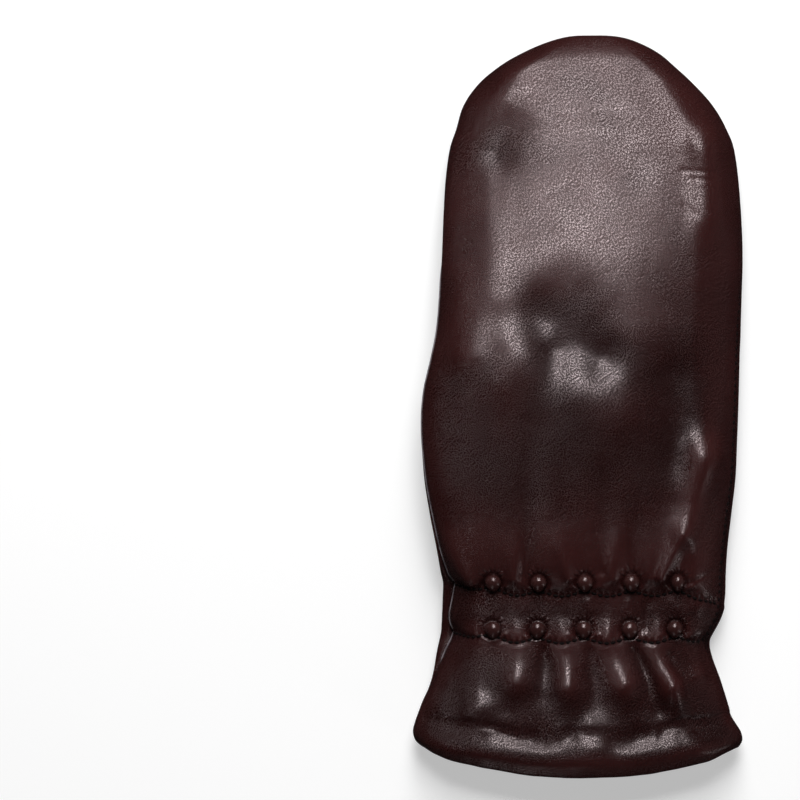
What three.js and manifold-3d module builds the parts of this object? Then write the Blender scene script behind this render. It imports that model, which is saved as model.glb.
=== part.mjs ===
// A right-hand leather mitten, lying on its palm with the thumb folded underneath.
// Millimetres. +X is the little finger side, +Y points to the fingertips, +Z is up, and z = 0 is the table.
import * as THREE from 'three';
import Module from 'manifold-3d';
import { mergeVertices } from 'three/addons/utils/BufferGeometryUtils.js';

// Driving dimensions
const SEAM_GAP = 0.3;            // clearance between neighbouring pieces
const PALM_LIFT = 16.2;          // the palm's underside where it lies over the thumb
// The palm is raised within a radius of the thumb's line at x from its heel to its toe. It comes down to the
// table over the length fall, and more steeply towards the wrist.
const DRAPE = { x: -25, heel: -38, toe: 40, radius: 20, fall: 28, steeper: 1.5 };
const FLANK = 11;                // plan width of the rounding under the sides
const MOST_ROLL = 0.8;           // a rounding takes at most this share of half the width
const SWELL_DROP = 0.8;          // fall of the palm's swelling past the back panel's edge, for its width
const LAP_STEP = 0.6;            // how much lower than the back panel the palm panel meets it at the lap
const ROW_DEPTH = 2.2;           // how deep a gathering row pulls into the leather
const ROW_WIDTH = 2.4;
const HEM_LINE = -109.4;         // the hem's stitch line, as a station
const HEM_DEPTH = 0.9;
const HEM_WIDTH = 1.8;
const PIPS_PER_ROW = 5;
const PIP_PITCH = 16.2;
const PIP_RADIUS = 3.1;
const PIP_RISE = 2.5;            // half height of the ball that makes a pip
const PIP_SEAT = 0.9;            // height of the ball's middle above the leather
const THUMB_WALL = 2;
const THUMB_SQUARE = 2.5;        // form of the thumb's sections: 2 is an ellipse, and higher is boxier
const THUMB_SIDES = 22;

// Lengthwise stations from the hem of the cuff to the fingertips.
// s: the station's place along the length; bow: how much its middle lies further on (negative: to the cuff)
// left, right: the outline seen from above; tuck: the back panel's left edge, inside that outline
// lap: the side seam, inside the right outline; edgeL, edgeR: heights of the widest points
// crown, camber, tilt: height of the top's middle, its fall to both sides, its rise to the thumb side
// belly: height of the underside, where below the table it is pressed flat; roll: plan width of the shoulders
// wall: thickness of the leather; steps: mesh rows up to the next station
const STATION_COLUMNS = ['s', 'bow', 'left', 'right', 'tuck', 'lap', 'edgeL', 'edgeR', 'crown', 'camber',
  'tilt', 'belly', 'roll', 'wall', 'steps'];
const STATIONS = table(STATION_COLUMNS, [
  [-120.6, -9.2, -55.2, 57.0, 0.0, 0.0, 9.0, 9.0, 25.0, 6.0, 0.0, 1.6, 17, 3.0, 1],   // rim of the hem
  [-118.6, -8.4, -57.4, 58.0, 0.0, 0.0, 9.2, 9.2, 29.0, 6.5, 0.0, -0.6, 18, 3.0, 1],
  [-115.6, -7.4, -58.2, 57.4, 0.0, 0.0, 9.6, 9.6, 31.8, 7.0, 0.0, -1.0, 19, 2.9, 1],  // crown of the hem
  [-112.4, -6.7, -57.6, 55.4, 0.0, 0.0, 10.0, 10.0, 32.8, 7.0, 0.0, -1.0, 19, 2.6, 1],
  [-109.4, -5.9, -56.7, 53.7, 0.0, 0.0, 10.0, 10.0, 32.6, 6.8, 0.0, -1.0, 19, 2.3, 1],  // stitches of the hem
  [-106.4, -5.2, -55.3, 53.0, 0.0, 0.0, 10.0, 10.0, 32.0, 6.0, 0.0, -1.0, 18, 2.0, 2],
  [-97.6, -3.0, -51.8, 50.2, 0.5, 0.2, 10.0, 10.0, 29.8, 5.0, 0.0, -1.0, 17, 2.0, 2],
  [-88.6, -1.0, -49.7, 47.0, 2.5, 1.3, 10.0, 10.0, 27.8, 4.0, 0.0, -1.0, 16, 2.0, 2],
  [-82.8, -0.6, -48.3, 46.8, 3.9, 2.6, 10.0, 10.0, 27.0, 4.0, 0.0, -1.0, 15, 2.0, 3],  // lower gathering row
  [-74.6, 0.0, -47.8, 50.6, 2.6, 2.0, 11.5, 10.5, 29.0, 4.0, 0.0, 1.0, 15, 2.0, 3],   // puffed band
  [-66.4, -0.6, -47.6, 51.8, 3.7, 2.2, 14.0, 11.0, 28.2, 4.0, 0.0, 3.0, 15, 2.0, 2],  // upper gathering row
  [-60.0, 0.0, -48.3, 51.9, 2.4, 2.1, 17.0, 11.5, 30.6, 4.0, 0.5, 3.0, 15, 2.0, 2],
  [-51.3, 0.0, -49.8, 52.5, 1.1, 2.0, 21.5, 12.0, 33.2, 4.5, 1.0, 1.0, 16, 2.0, 2],
  [-38.7, 0.0, -52.2, 53.9, 0.7, 1.8, 23.0, 12.5, 35.8, 5.0, 1.6, -1.0, 17, 2.0, 1],
  [-26.0, 0.0, -54.3, 55.3, 0.5, 1.6, 24.0, 12.5, 37.4, 5.5, 2.0, -1.0, 17, 2.0, 1],
  [-9.1, 0.0, -55.3, 56.0, 0.0, 1.6, 24.0, 13.0, 38.4, 6.0, 2.2, -1.0, 18, 2.0, 1],
  [3.5, 0.0, -54.6, 56.4, 0.0, 1.5, 24.0, 13.0, 38.4, 6.0, 2.2, -1.0, 18, 2.0, 1],
  [16.2, 0.0, -51.8, 56.7, 0.0, 1.3, 23.8, 13.0, 37.8, 6.0, 2.0, -1.0, 18, 2.0, 1],
  [28.8, 0.0, -49.6, 57.1, 0.0, 1.0, 23.4, 13.0, 36.6, 5.5, 1.6, -1.0, 18, 2.0, 2],
  [49.9, 0.0, -48.3, 57.8, 0.0, 0.3, 22.4, 12.5, 33.6, 5.0, 1.0, -1.0, 18, 2.0, 2],
  [71.0, 0.0, -47.4, 57.1, 0.0, 0.0, 18.0, 12.0, 30.4, 4.5, 0.4, -1.0, 17, 2.0, 2],
  [87.9, 0.0, -45.5, 55.2, 0.0, 0.0, 12.5, 11.5, 28.0, 4.0, 0.0, -1.0, 16, 2.0, 1],
  [96.3, 0.0, -43.0, 52.2, 0.0, 0.0, 11.0, 11.0, 26.8, 3.8, 0.0, -1.0, 15, 2.0, 1],
  [104.7, 0.0, -40.4, 47.3, 0.0, 0.0, 11.0, 11.0, 25.6, 3.5, 0.0, -1.0, 14, 2.0, 1],
  [112.4, 0.0, -35.0, 40.4, 0.0, 0.0, 11.0, 11.0, 24.2, 3.0, 0.0, -0.8, 13, 2.0, 1],
  [118.4, 0.0, -27.9, 34.0, 0.0, 0.0, 11.0, 11.0, 22.4, 2.5, 0.0, 0.4, 12, 2.0, 1],
  [122.8, 0.0, -20.6, 28.8, 0.0, 0.0, 11.0, 11.0, 20.0, 2.0, 0.0, 2.4, 11, 2.0, 1],
  [126.4, 0.0, -12.6, 22.2, 0.0, 0.0, 11.0, 11.0, 17.2, 1.2, 0.0, 5.0, 9, 2.0, 1],
  [128.8, 0.0, -4.6, 15.0, 0.0, 0.0, 11.0, 11.0, 14.4, 0.5, 0.0, 7.8, 6, 2.0, 1],
  [130.0, 0.0, 4.0, 4.0, 0.0, 0.0, 11.0, 11.0, 11.2, 0.0, 0.0, 10.8, 0, 2.0, 0],      // fingertips
]);

// Gathering rows. s: the station that follows the stitches; pipX, pipY: the first pip's place
// rise: how far the stitches rise at each pip; drop: how far they fall at the little finger side
const ROWS = table(['name', 's', 'pipX', 'pipY', 'rise', 'drop'], [
  ['upper', -66.4, -30.4, -62.4, 0.8, 3.0],
  ['lower', -82.8, -30.8, -79.4, 0.8, 0.6],
]);

// Gathers, whose crests lie between the pips: they grow between the stations from and full, hold up to hold,
// and are gone at to. lean: how far a crest moves to +X for each millimetre away from the row
const GATHERS = table(['from', 'full', 'hold', 'to', 'height', 'lean'], [
  [-108.0, -90.0, -85.5, -82.0, 1.6, 0.28],    // flare of the cuff
  [-82.8, -79.5, -69.5, -66.4, 1.8, 0.0],      // puffed band
  [-66.4, -62.5, -57.0, -38.0, 1.4, 0.0],      // heel of the hand
]);

// Folds of the back panel, each a ridge or, where the height is negative, a valley from one point to another
const FOLDS = table(['x0', 'y0', 'x1', 'y1', 'width', 'height'], [
  [-46, -50, -34, -60, 4.0, 1.6],      // ridge that runs down to the first pip
  [44, 2, 38, -30, 7.0, 1.3],          // long ridge on the little finger side
  [38, -30, 28, -58, 4.5, 1.8],
  [14, -48, 12, -58, 3.0, 1.0],
  [26, -88, 42, -108, 4.0, -1.6],      // slanting trough in the flare, with a ridge on each side
  [20, -86, 34, -102, 3.4, 1.4],
  [34, -86, 42, -93, 2.8, 1.2],
  [-10, -88, -8, -100, 3.6, -1.2],
  [-36, -100, -30, -103, 8.0, 1.2],
  [-8, 38, 4, 42, 10.0, -1.8],         // dent in the middle of the hand
  [-34, 95, -27, 84, 7.0, -1.5],       // dent near the fingertips
  [-26, 20, -20, 36, 9.0, 1.2],        // swellings over the knuckles
  [6, 8, 14, 14, 8.0, 1.1],
  [-16, -8, -17, -46, 3.2, -0.9],      // soft lengthwise valleys
  [9, -20, 9, -48, 3.2, -0.8],
  [28, 8, 34, -18, 7.0, -1.0],
]);

// Sections of the thumb, from its mouth in the palm to its tip: each is a flattened loop through a top and a
// bottom point. The first lies level in the palm's hole, and the next turn about the crotch towards the tip.
const THUMB_SECTIONS = table(['topY', 'topZ', 'botY', 'botZ', 'half', 'x'], [
  [-4.0, 18.0, -48.0, 18.0, 18.0, -27.0],      // mouth
  [-4.0, 16.6, -48.0, 15.0, 18.0, -27.0],
  [-3.6, 15.7, -47.0, 9.0, 18.1, -27.0],
  [-2.4, 15.2, -42.0, 3.2, 18.3, -27.0],
  [0.0, 15.0, -32.0, -0.4, 18.4, -26.8],
  [6.0, 15.0, -16.0, -1.0, 18.2, -26.4],
  [16.0, 15.0, 4.0, -1.0, 17.8, -25.6],
  [27.0, 14.9, 22.0, -1.0, 17.0, -24.6],
  [38.0, 14.4, 38.0, -1.0, 15.8, -23.4],
  [46.0, 13.2, 48.0, -0.6, 13.4, -22.4],
  [51.5, 11.4, 54.0, 0.8, 10.0, -21.8],
  [55.0, 9.2, 56.4, 3.4, 5.8, -21.4],
  [56.8, 6.4, 56.8, 6.4, 0.0, -21.2],          // tip
]);

// Mesh columns round the mitten's section, for each stretch of it
const BACK_SPANS = [2, 25, 5];               // right shoulder, top, left shoulder
const PALM_SPANS = [5, 11, 4, 2];            // left flank, underside, right flank, right shoulder

const LEATHER = { color: 0x2c1613, roughness: 0.42, metalness: 0 };
const PIP_LEATHER = { color: 0x361c17, roughness: 0.5, metalness: 0 };

const wasm = await Module();
wasm.setup();

function table(names, rows) {
  return rows.map((row) => Object.fromEntries(names.map((name, i) => [name, row[i]])));
}

function smooth(from, to, value) {
  const s = Math.min(1, Math.max(0, (value - from) / (to - from)));
  return s * s * (3 - 2 * s);
}

const bump = (distance, width) => Math.exp(-((distance / width) ** 2));

// A column of the stations at a place t between two of them, on a smooth curve through all
function at(column, t) {
  const last = STATIONS.length - 1;
  const i = Math.min(last - 1, Math.max(0, Math.floor(t)));
  const f = t - i;
  const value = (k) => STATIONS[Math.min(last, Math.max(0, k))][column];
  const [a, b, c, d] = [i - 1, i, i + 1, i + 2].map(value);
  return b + 0.5 * f * (c - a + f * (2 * a - 5 * b + 4 * c - d + f * (3 * (b - c) + d - a)));
}

// Height of the underside, which lies on the table and drapes over the thumb
function underside(x, y, belly) {
  const beyond = Math.max(0, y - DRAPE.toe) + DRAPE.steeper * Math.max(0, DRAPE.heel - y);
  const away = Math.hypot(x - DRAPE.x, beyond) - DRAPE.radius;
  return belly + (PALM_LIFT - belly) * (1 - smooth(0, DRAPE.fall, away));
}

// How far a gathering row's stitches stray from its station
function stray(s, x) {
  const reach = 5;
  let shift = 0;
  for (const row of ROWS) {
    const ripple = row.rise * Math.cos((2 * Math.PI * (x - row.pipX)) / PIP_PITCH);
    const inside = smooth(-46, -38, x) * (1 - smooth(38, 46, x));
    shift += bump(s - row.s, reach) * (ripple * inside - row.drop * smooth(34, 50, x));
  }
  return shift;
}

// Distance on the table plane from a point to a fold's line
function foldDistance(fold, x, y) {
  const line = new THREE.Line3(new THREE.Vector3(fold.x0, fold.y0), new THREE.Vector3(fold.x1, fold.y1));
  const point = new THREE.Vector3(x, y, 0);
  return line.closestPointToPoint(point, true, new THREE.Vector3()).distanceTo(point);
}

// How far the leather stands proud of its plain form: rows and hem line, then gathers and folds of the top
function relief(s, x, y, q) {
  const aroundSides = q < 3 || q > 6 ? 1 : 1 - smooth(3, 3.6, q) + smooth(5.4, 6, q);
  const onTop = smooth(0.2, 0.9, q) * (1 - smooth(2.2, 2.9, q));
  let rows = -HEM_DEPTH * bump(s - HEM_LINE, HEM_WIDTH);
  for (const row of ROWS) rows -= ROW_DEPTH * bump(s - row.s, ROW_WIDTH);
  let lift = 0;
  for (const set of GATHERS) {
    const row = ROWS.reduce((a, b) => (Math.abs(a.s - set.hold) < Math.abs(b.s - set.hold) ? a : b));
    const crest = x - row.pipX + set.lean * (s - row.s);
    const strength = smooth(set.from, set.full, s) * (1 - smooth(set.hold, set.to, s));
    lift += set.height * strength * (0.5 - 0.5 * Math.cos((2 * Math.PI * crest) / PIP_PITCH));
  }
  for (const fold of FOLDS) lift += fold.height * bump(foldDistance(fold, x, y), fold.width);
  return rows * aroundSides + lift * onTop;
}

// A point of the mitten's plain outer form at station t, with its side coordinate s and its place x, y, z.
// q runs round the section: 0-1 right shoulder, 1-2 top from right to left, 2-3 left shoulder,
// 3-4 left flank, 4-5 underside from left to right, 5-6 right flank, 6-7 right shoulder again
function plain(t, q) {
  const onTop = q < 3 || q >= 6;
  const tuck = Math.max(0, at('tuck', t));
  const left = at('left', t) + (onTop ? tuck : 0);
  const right = at('right', t);
  const half = (right - left) / 2;
  const middle = (left + right) / 2;
  const roll = Math.min(onTop ? at('roll', t) : FLANK, half * MOST_ROLL);
  const part = Math.floor(q);
  let angle = ((q - part) * Math.PI) / 2;
  let outward = part === 2 || part === 5 ? Math.sin(angle) : Math.cos(angle);
  let edge = part === 2 || part === 3 ? at('edgeL', t) : at('edgeR', t);
  let x;
  let full = Math.sqrt(1 - outward * outward);
  if (part === 1 || part === 4) {
    const across = (part === 1 ? -1 : 1) * (2 * (q - part) - 1);
    x = middle + across * (half - roll);
    edge = 0;
    full = 1;
  } else if (part === 3) {
    // From the back panel's edge the palm first swells out to the outline, and then rolls under
    const above = Math.acos(1 - Math.min(1, tuck / Math.max(roll, 1)));
    angle = (q - part) * (Math.PI / 2 + above) - above;
    outward = Math.cos(angle);
    x = middle - (half - roll + roll * outward);
    const widest = edge - SWELL_DROP * tuck;
    const swell = angle < 0 ? (edge - widest) * (Math.sin(-angle) / Math.sin(above)) : 0;
    edge = widest + swell;
    full = Math.max(0, Math.sin(angle));
  } else {
    x = middle + (part === 2 ? -1 : 1) * (half - roll + roll * outward);
  }
  const side = half > 0 ? (x - middle) / half : 0;
  const s = at('s', t);
  const y = s + at('bow', t) * (1 - side * side) + stray(s, x);
  const face = onTop ? at('crown', t) - at('camber', t) * side * side - at('tilt', t) * side
    : underside(x, y, at('belly', t));
  return { s, point: new THREE.Vector3(x, y, edge + (face - edge) * full) };
}

// Directions at a point of the plain form: round the section, and outwards
function directions(t, q) {
  const step = 0.01;
  const last = STATIONS.length - 1;
  const along = plain(Math.min(last, t + step), q).point.sub(plain(Math.max(0, t - step), q).point);
  const round = plain(t, q + step).point.sub(plain(t, Math.max(0, q - step)).point).normalize();
  return { round, outward: along.cross(round).normalize() };
}

// A point of the leather: out is the height above the outer face, and seam a shift along the section
function leather(t, q, out, seam) {
  const { s, point } = plain(t, q);
  const { round, outward } = directions(t, q);
  const lap = LAP_STEP * smooth(6, 6.1, q);
  point.addScaledVector(outward, out + relief(s, point.x, point.y, q) - lap);
  return point.addScaledVector(round, seam);
}

// Where the side seam lies on the right shoulder
function lapSeam(t) {
  const inside = Math.max(0, at('lap', t)) / Math.max(1, at('roll', t));
  return Math.acos(1 - inside) / (Math.PI / 2);
}

// Mesh rows: every station, with further rows where the table asks for them
function rowPlaces() {
  return STATIONS.slice(0, -1).flatMap(({ steps }, i) =>
    Array.from({ length: steps }, (_, k) => i + k / steps));
}

// Mesh columns: each stretch between two places of q is split evenly
function columnPlaces(ends, spans) {
  const places = spans.flatMap((count, i) =>
    Array.from({ length: count }, (_, k) => ends[i] + ((ends[i + 1] - ends[i]) * k) / count));
  return [...places, ends[ends.length - 1]];
}

// A panel of the mitten from its columns at each station. Its outer face stands out by grow, and its inner
// face lies one wall thickness in, or as deep as depth says
function panel(columnsAt, poleShift, grow = 0, depth = null) {
  const grid = (inner) => rowPlaces().map((t) => {
    const columns = columnsAt(t);
    return columns.map((q, j) => {
      const seam = (j === 0 ? SEAM_GAP / 2 : 0) - (j === columns.length - 1 ? SEAM_GAP / 2 : 0);
      const wall = depth ?? at('wall', t);
      const point = leather(t, q, inner ? -wall : grow, seam);
      point.z = Math.max(point.z, inner ? wall : 0);
      return point;
    });
  });
  const tip = STATIONS[STATIONS.length - 1];
  const pole = (back) => new THREE.Vector3(tip.left, tip.s - back, tip.edgeL + poleShift);
  return wallGeometry(grid(false), grid(true), pole(-grow), pole(depth ?? tip.wall), false);
}

// The closed wall between an outer and an inner grid of points. Rows run along the piece to a pole that
// closes it, and columns run round it, in a ring or from one free edge to the other
function wallGeometry(outer, inner, outerPole, innerPole, ring) {
  const rows = outer.length;
  const cols = outer[0].length;
  const points = [...outer.flat(), ...inner.flat(), outerPole, innerPole];
  const id = (side, i, j) => (i === rows ? 2 * rows * cols + side : (side * rows + i) * cols + (j % cols));
  const faces = [];
  const quad = (...ids) => {
    const [a, b, c, d] = [...new Set(ids)];
    if (d === undefined) {
      faces.push(a, b, c);
    } else if (points[a].distanceTo(points[c]) < points[b].distanceTo(points[d])) {
      faces.push(a, b, c, a, c, d);
    } else {
      faces.push(b, c, d, b, d, a);
    }
  };
  const spans = ring ? cols : cols - 1;
  for (let j = 0; j < spans; j += 1) {
    for (let i = 0; i < rows; i += 1) {
      quad(id(0, i, j), id(0, i + 1, j), id(0, i + 1, j + 1), id(0, i, j + 1));
      quad(id(1, i, j), id(1, i, j + 1), id(1, i + 1, j + 1), id(1, i + 1, j));
    }
    quad(id(0, 0, j), id(0, 0, j + 1), id(1, 0, j + 1), id(1, 0, j));
  }
  for (let i = 0; i < rows && !ring; i += 1) {
    quad(id(0, i, spans), id(0, i + 1, spans), id(1, i + 1, spans), id(1, i, spans));
    quad(id(0, i + 1, 0), id(0, i, 0), id(1, i, 0), id(1, i + 1, 0));
  }
  const geometry = new THREE.BufferGeometry().setFromPoints(points);
  return geometry.setIndex(faces);
}

function toSolid(geometry) {
  const bare = geometry.clone();
  bare.deleteAttribute('normal');
  bare.deleteAttribute('uv');
  const merged = mergeVertices(bare, 1e-4);
  return new wasm.Manifold(new wasm.Mesh({
    numProp: 3,
    vertProperties: new Float32Array(merged.attributes.position.array),
    triVerts: new Uint32Array(merged.index.array),
  }));
}

function fromSolid(solid) {
  const mesh = solid.getMesh();
  const geometry = new THREE.BufferGeometry();
  geometry.setAttribute('position', new THREE.BufferAttribute(mesh.vertProperties, 3));
  return geometry.setIndex(new THREE.BufferAttribute(mesh.triVerts, 1));
}

// Back panel: from the side seam over the top to the left edge
const backColumns = (t) => columnPlaces([lapSeam(t), 1, 2, 3], BACK_SPANS);
const backPanel = (grow, depth) => panel(backColumns, SEAM_GAP / 2, grow, depth);

// Palm panel: from the left edge underneath and up to the side seam
const palmColumns = (t) => columnPlaces([3, 4, 5, 6, 6 + lapSeam(t)], PALM_SPANS);

// A point of a thumb section's loop at an angle, grown outwards by grow
function thumbPoint(section, angle, grow = 0) {
  const squash = (v) => Math.sign(v) * Math.abs(v) ** (2 / THUMB_SQUARE);
  const top = new THREE.Vector3(section.x, section.topY, section.topZ);
  const bottom = new THREE.Vector3(section.x, section.botY, section.botZ);
  const middle = top.clone().add(bottom).multiplyScalar(0.5);
  const up = top.clone().sub(middle);
  up.setLength(up.length() + grow);
  middle.addScaledVector(up, squash(Math.sin(angle)));
  middle.x += (section.half + grow) * squash(Math.cos(angle));
  return middle;
}

const thumbAngle = (j) => (2 * Math.PI * j) / THUMB_SIDES;

function thumbGeometry() {
  const loops = THUMB_SECTIONS.slice(0, -1);
  const tip = THUMB_SECTIONS[THUMB_SECTIONS.length - 1];
  const pole = new THREE.Vector3(tip.x, tip.topY, tip.topZ);
  const outer = loops.map((section) =>
    Array.from({ length: THUMB_SIDES }, (_, j) => thumbPoint(section, thumbAngle(j))));
  const inner = outer.map((loop, i) => loop.map((point, j) => {
    const next = outer[i + 1]?.[j] ?? pole;
    const previous = outer[i - 1]?.[j] ?? new THREE.Vector3(point.x, point.y, point.z + 1);
    const before = loop[(j + THUMB_SIDES - 1) % THUMB_SIDES];
    const after = loop[(j + 1) % THUMB_SIDES];
    const along = next.clone().sub(previous);
    const outward = along.cross(after.clone().sub(before)).normalize();
    return point.clone().addScaledVector(outward, -THUMB_WALL);
  }));
  for (const point of outer.flat()) point.z = Math.max(point.z, 0);
  for (const point of inner.flat()) point.z = Math.max(point.z, THUMB_WALL);
  const innerPole = pole.clone().setY(pole.y - THUMB_WALL);
  return wallGeometry(outer, inner, pole, innerPole, true);
}

// The plug that opens the palm for the thumb: the thumb's mouth, grown by the seam gap
function thumbHole() {
  const bottom = 9;
  const height = 18;
  const outline = Array.from({ length: THUMB_SIDES }, (_, j) => {
    const point = thumbPoint(THUMB_SECTIONS[0], thumbAngle(j), SEAM_GAP);
    return new THREE.Vector2(point.x, point.y);
  });
  const plug = new THREE.ExtrudeGeometry(new THREE.Shape(outline), { depth: height, bevelEnabled: false });
  return plug.translate(0, 0, bottom);
}

// The place on the top of the mitten over a point of the table plane
function topAt(x, y) {
  let best = null;
  const step = 0.02;
  for (let t = 0; t < STATIONS.length - 1; t += step) {
    const half = (at('right', t) - at('left', t)) / 2 - at('roll', t);
    const middle = (at('right', t) + at('left', t)) / 2;
    const q = 1.5 - (x - middle) / half / 2;
    const point = leather(t, q, 0, 0);
    const miss = Math.hypot(point.x - x, point.y - y);
    if (!best || miss < best.miss) best = { miss, point, outward: directions(t, q).outward };
  }
  return best;
}

// A pip: a small flattened ball of leather, cut to sit on the back panel
function pipGeometry(x, y, ground) {
  const { point, outward } = topAt(x, y);
  const ball = new THREE.SphereGeometry(1, 9, 6).rotateX(Math.PI / 2);
  ball.scale(PIP_RADIUS, PIP_RADIUS, PIP_RISE);
  ball.applyQuaternion(new THREE.Quaternion().setFromUnitVectors(new THREE.Vector3(0, 0, 1), outward));
  const middle = point.clone().addScaledVector(outward, PIP_SEAT);
  ball.translate(middle.x, middle.y, middle.z);
  return fromSolid(toSolid(ball).subtract(ground));
}

const mitten = new THREE.Group();

function addPiece(name, geometry, finish) {
  const mesh = new THREE.Mesh(geometry, new THREE.MeshStandardMaterial(finish));
  mesh.name = name;
  mitten.add(mesh);
}

addPiece('back_panel', backPanel(), LEATHER);
addPiece('palm_panel',
  fromSolid(toSolid(panel(palmColumns, -SEAM_GAP / 2)).subtract(toSolid(thumbHole()))), LEATHER);
addPiece('thumb', thumbGeometry(), LEATHER);

const groundDepth = 6;
const ground = toSolid(backPanel(SEAM_GAP, groundDepth));
for (const row of ROWS) {
  for (let i = 0; i < PIPS_PER_ROW; i += 1) {
    const pip = pipGeometry(row.pipX + i * PIP_PITCH, row.pipY, ground);
    addPiece(`pip_${row.name}_${i + 1}`, pip, PIP_LEATHER);
  }
}

export default mitten;
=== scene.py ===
# A right-hand leather mitten, lying on its palm with the thumb folded underneath, dressed around its model.
# The tables are in millimetres: +X is the little finger side, +Y points to the fingertips, +Z is up.
import math

import bmesh
import bpy
import numpy as np
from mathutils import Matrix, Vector


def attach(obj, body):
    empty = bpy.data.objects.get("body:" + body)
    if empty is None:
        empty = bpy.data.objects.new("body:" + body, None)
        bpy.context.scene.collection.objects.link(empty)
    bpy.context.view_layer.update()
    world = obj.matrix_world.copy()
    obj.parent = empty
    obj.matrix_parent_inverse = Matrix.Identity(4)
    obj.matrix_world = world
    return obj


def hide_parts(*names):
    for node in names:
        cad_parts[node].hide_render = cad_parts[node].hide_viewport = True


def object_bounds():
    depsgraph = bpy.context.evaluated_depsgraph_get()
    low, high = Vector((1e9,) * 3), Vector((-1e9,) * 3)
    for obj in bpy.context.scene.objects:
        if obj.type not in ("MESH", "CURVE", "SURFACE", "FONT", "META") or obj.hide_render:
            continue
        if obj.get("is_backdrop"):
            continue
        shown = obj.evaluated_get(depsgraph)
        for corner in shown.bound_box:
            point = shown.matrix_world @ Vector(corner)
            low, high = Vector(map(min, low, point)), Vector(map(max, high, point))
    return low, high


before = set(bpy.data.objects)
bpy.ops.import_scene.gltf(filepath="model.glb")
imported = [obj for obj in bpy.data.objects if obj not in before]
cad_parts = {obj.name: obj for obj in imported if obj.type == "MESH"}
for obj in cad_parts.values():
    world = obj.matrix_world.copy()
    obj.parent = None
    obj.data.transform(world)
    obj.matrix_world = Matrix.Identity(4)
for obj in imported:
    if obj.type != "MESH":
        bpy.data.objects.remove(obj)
cad_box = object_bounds()

MM = 0.001
SAME_PLACE = 1e-7  # points closer than this, in metres, are one point

# Driving dimensions of the form, as in the model
PALM_LIFT = 16.2  # the palm's underside where it lies over the thumb
DRAPE_X, DRAPE_HEEL, DRAPE_TOE = -25, -38, 40  # the thumb's line, which lifts the palm
DRAPE_RADIUS, DRAPE_FALL, DRAPE_STEEPER = 20, 28, 1.5
FLANK = 11  # plan width of the rounding under the sides
MOST_ROLL = 0.8  # a rounding takes at most this share of half the width
SWELL_DROP = 0.8  # fall of the palm's swelling past the back panel's edge, for its width
LAP_STEP = 0.9  # how much lower than the back panel the palm meets it at the lap
LAP_TUCK = 1.6  # how far the palm runs on under the back panel's edge
LEATHER_WALL = 2.0
THUMB_WALL = 2
THUMB_SQUARE = 2.5
TIP_STATIONS = 0.8  # the panels' relief ends this much before the tip, in stations
SEAM_DEPTH, SEAM_WIDTH = 1.1, 1.0  # the seams' edges roll in by this, over this width
HEM_TURN = 1.0  # the turned hem stands this much proud of the flesh side
HEM_TURN_END = -108.6

# Gathering rows: a narrow and a wide dip, puckers between the stitches, and the dent under them
ROW_DEPTH, ROW_WIDTH = 0.15, 1.2
ROW_DIP_DEPTH, ROW_DIP_WIDTH = 0.25, 3.2
PUCKER_HEIGHT, PUCKER_AWAY, PUCKER_WIDTH = 0.3, 0.8, 0.9  # away: beside the row
DENT_DEPTH, DENT_WIDTH = 0.2, 2.0
STRAY_WIDTH = 5  # how far along the leather strays with its lines
STRAY_NEAR, STRAY_FAR = 38, 46  # on both sides the straying fades out from here to there
CLIMB_SIDE = (-20, -46)  # between these places a row climbs at the thumb side
DROP_SIDE = (34, 50)  # and drops at the other

# The hem's line of stitches, and its swell, which wanders to and fro once in a pitch, with a crest at x
HEM_LINE, HEM_DEPTH, HEM_WIDTH = -109.4, 0.08, 1.8
HEM_FAINT_SHARE, HEM_FAINT_X, HEM_FAINT_WIDTH = 0.8, 5, 30  # it is fainter in the middle
HEM_WAVE = 1.7
HEM_WAVE_LINE, HEM_WAVE_PITCH, HEM_WAVE_X = -112.0, 35.0, 2.0

# Pips, with the moat and the small puckers round each of them
PIPS_PER_ROW = 5
PIP_PITCH = 16.2
PIP_RADIUS = 3.0
PIP_RISE = 2.4
PIP_SEAT = 0.6
PIP_NARROWER = {("upper", 4): 0.82}  # the last pip of the upper row is narrower
MOAT_DEPTH, MOAT_RADIUS, MOAT_WIDTH = 0.8, 2.6, 1.1
PIP_TICKS = 16  # puckers in a whole turn
TICK_HEIGHT, TICK_RADIUS, TICK_LENGTH = 0.3, 4.1, 1.0
FAR_WING = 0.6  # height of a pip's fold on its other side

# How softly the leather flattens on the table, and how far it settles
FLOOR_SOFTNESS, FLOOR_SETTLE = 0.8, 0.14
FLOOR_GLOW = 0.45  # the floor is lit from within a little, as on a light table

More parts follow.
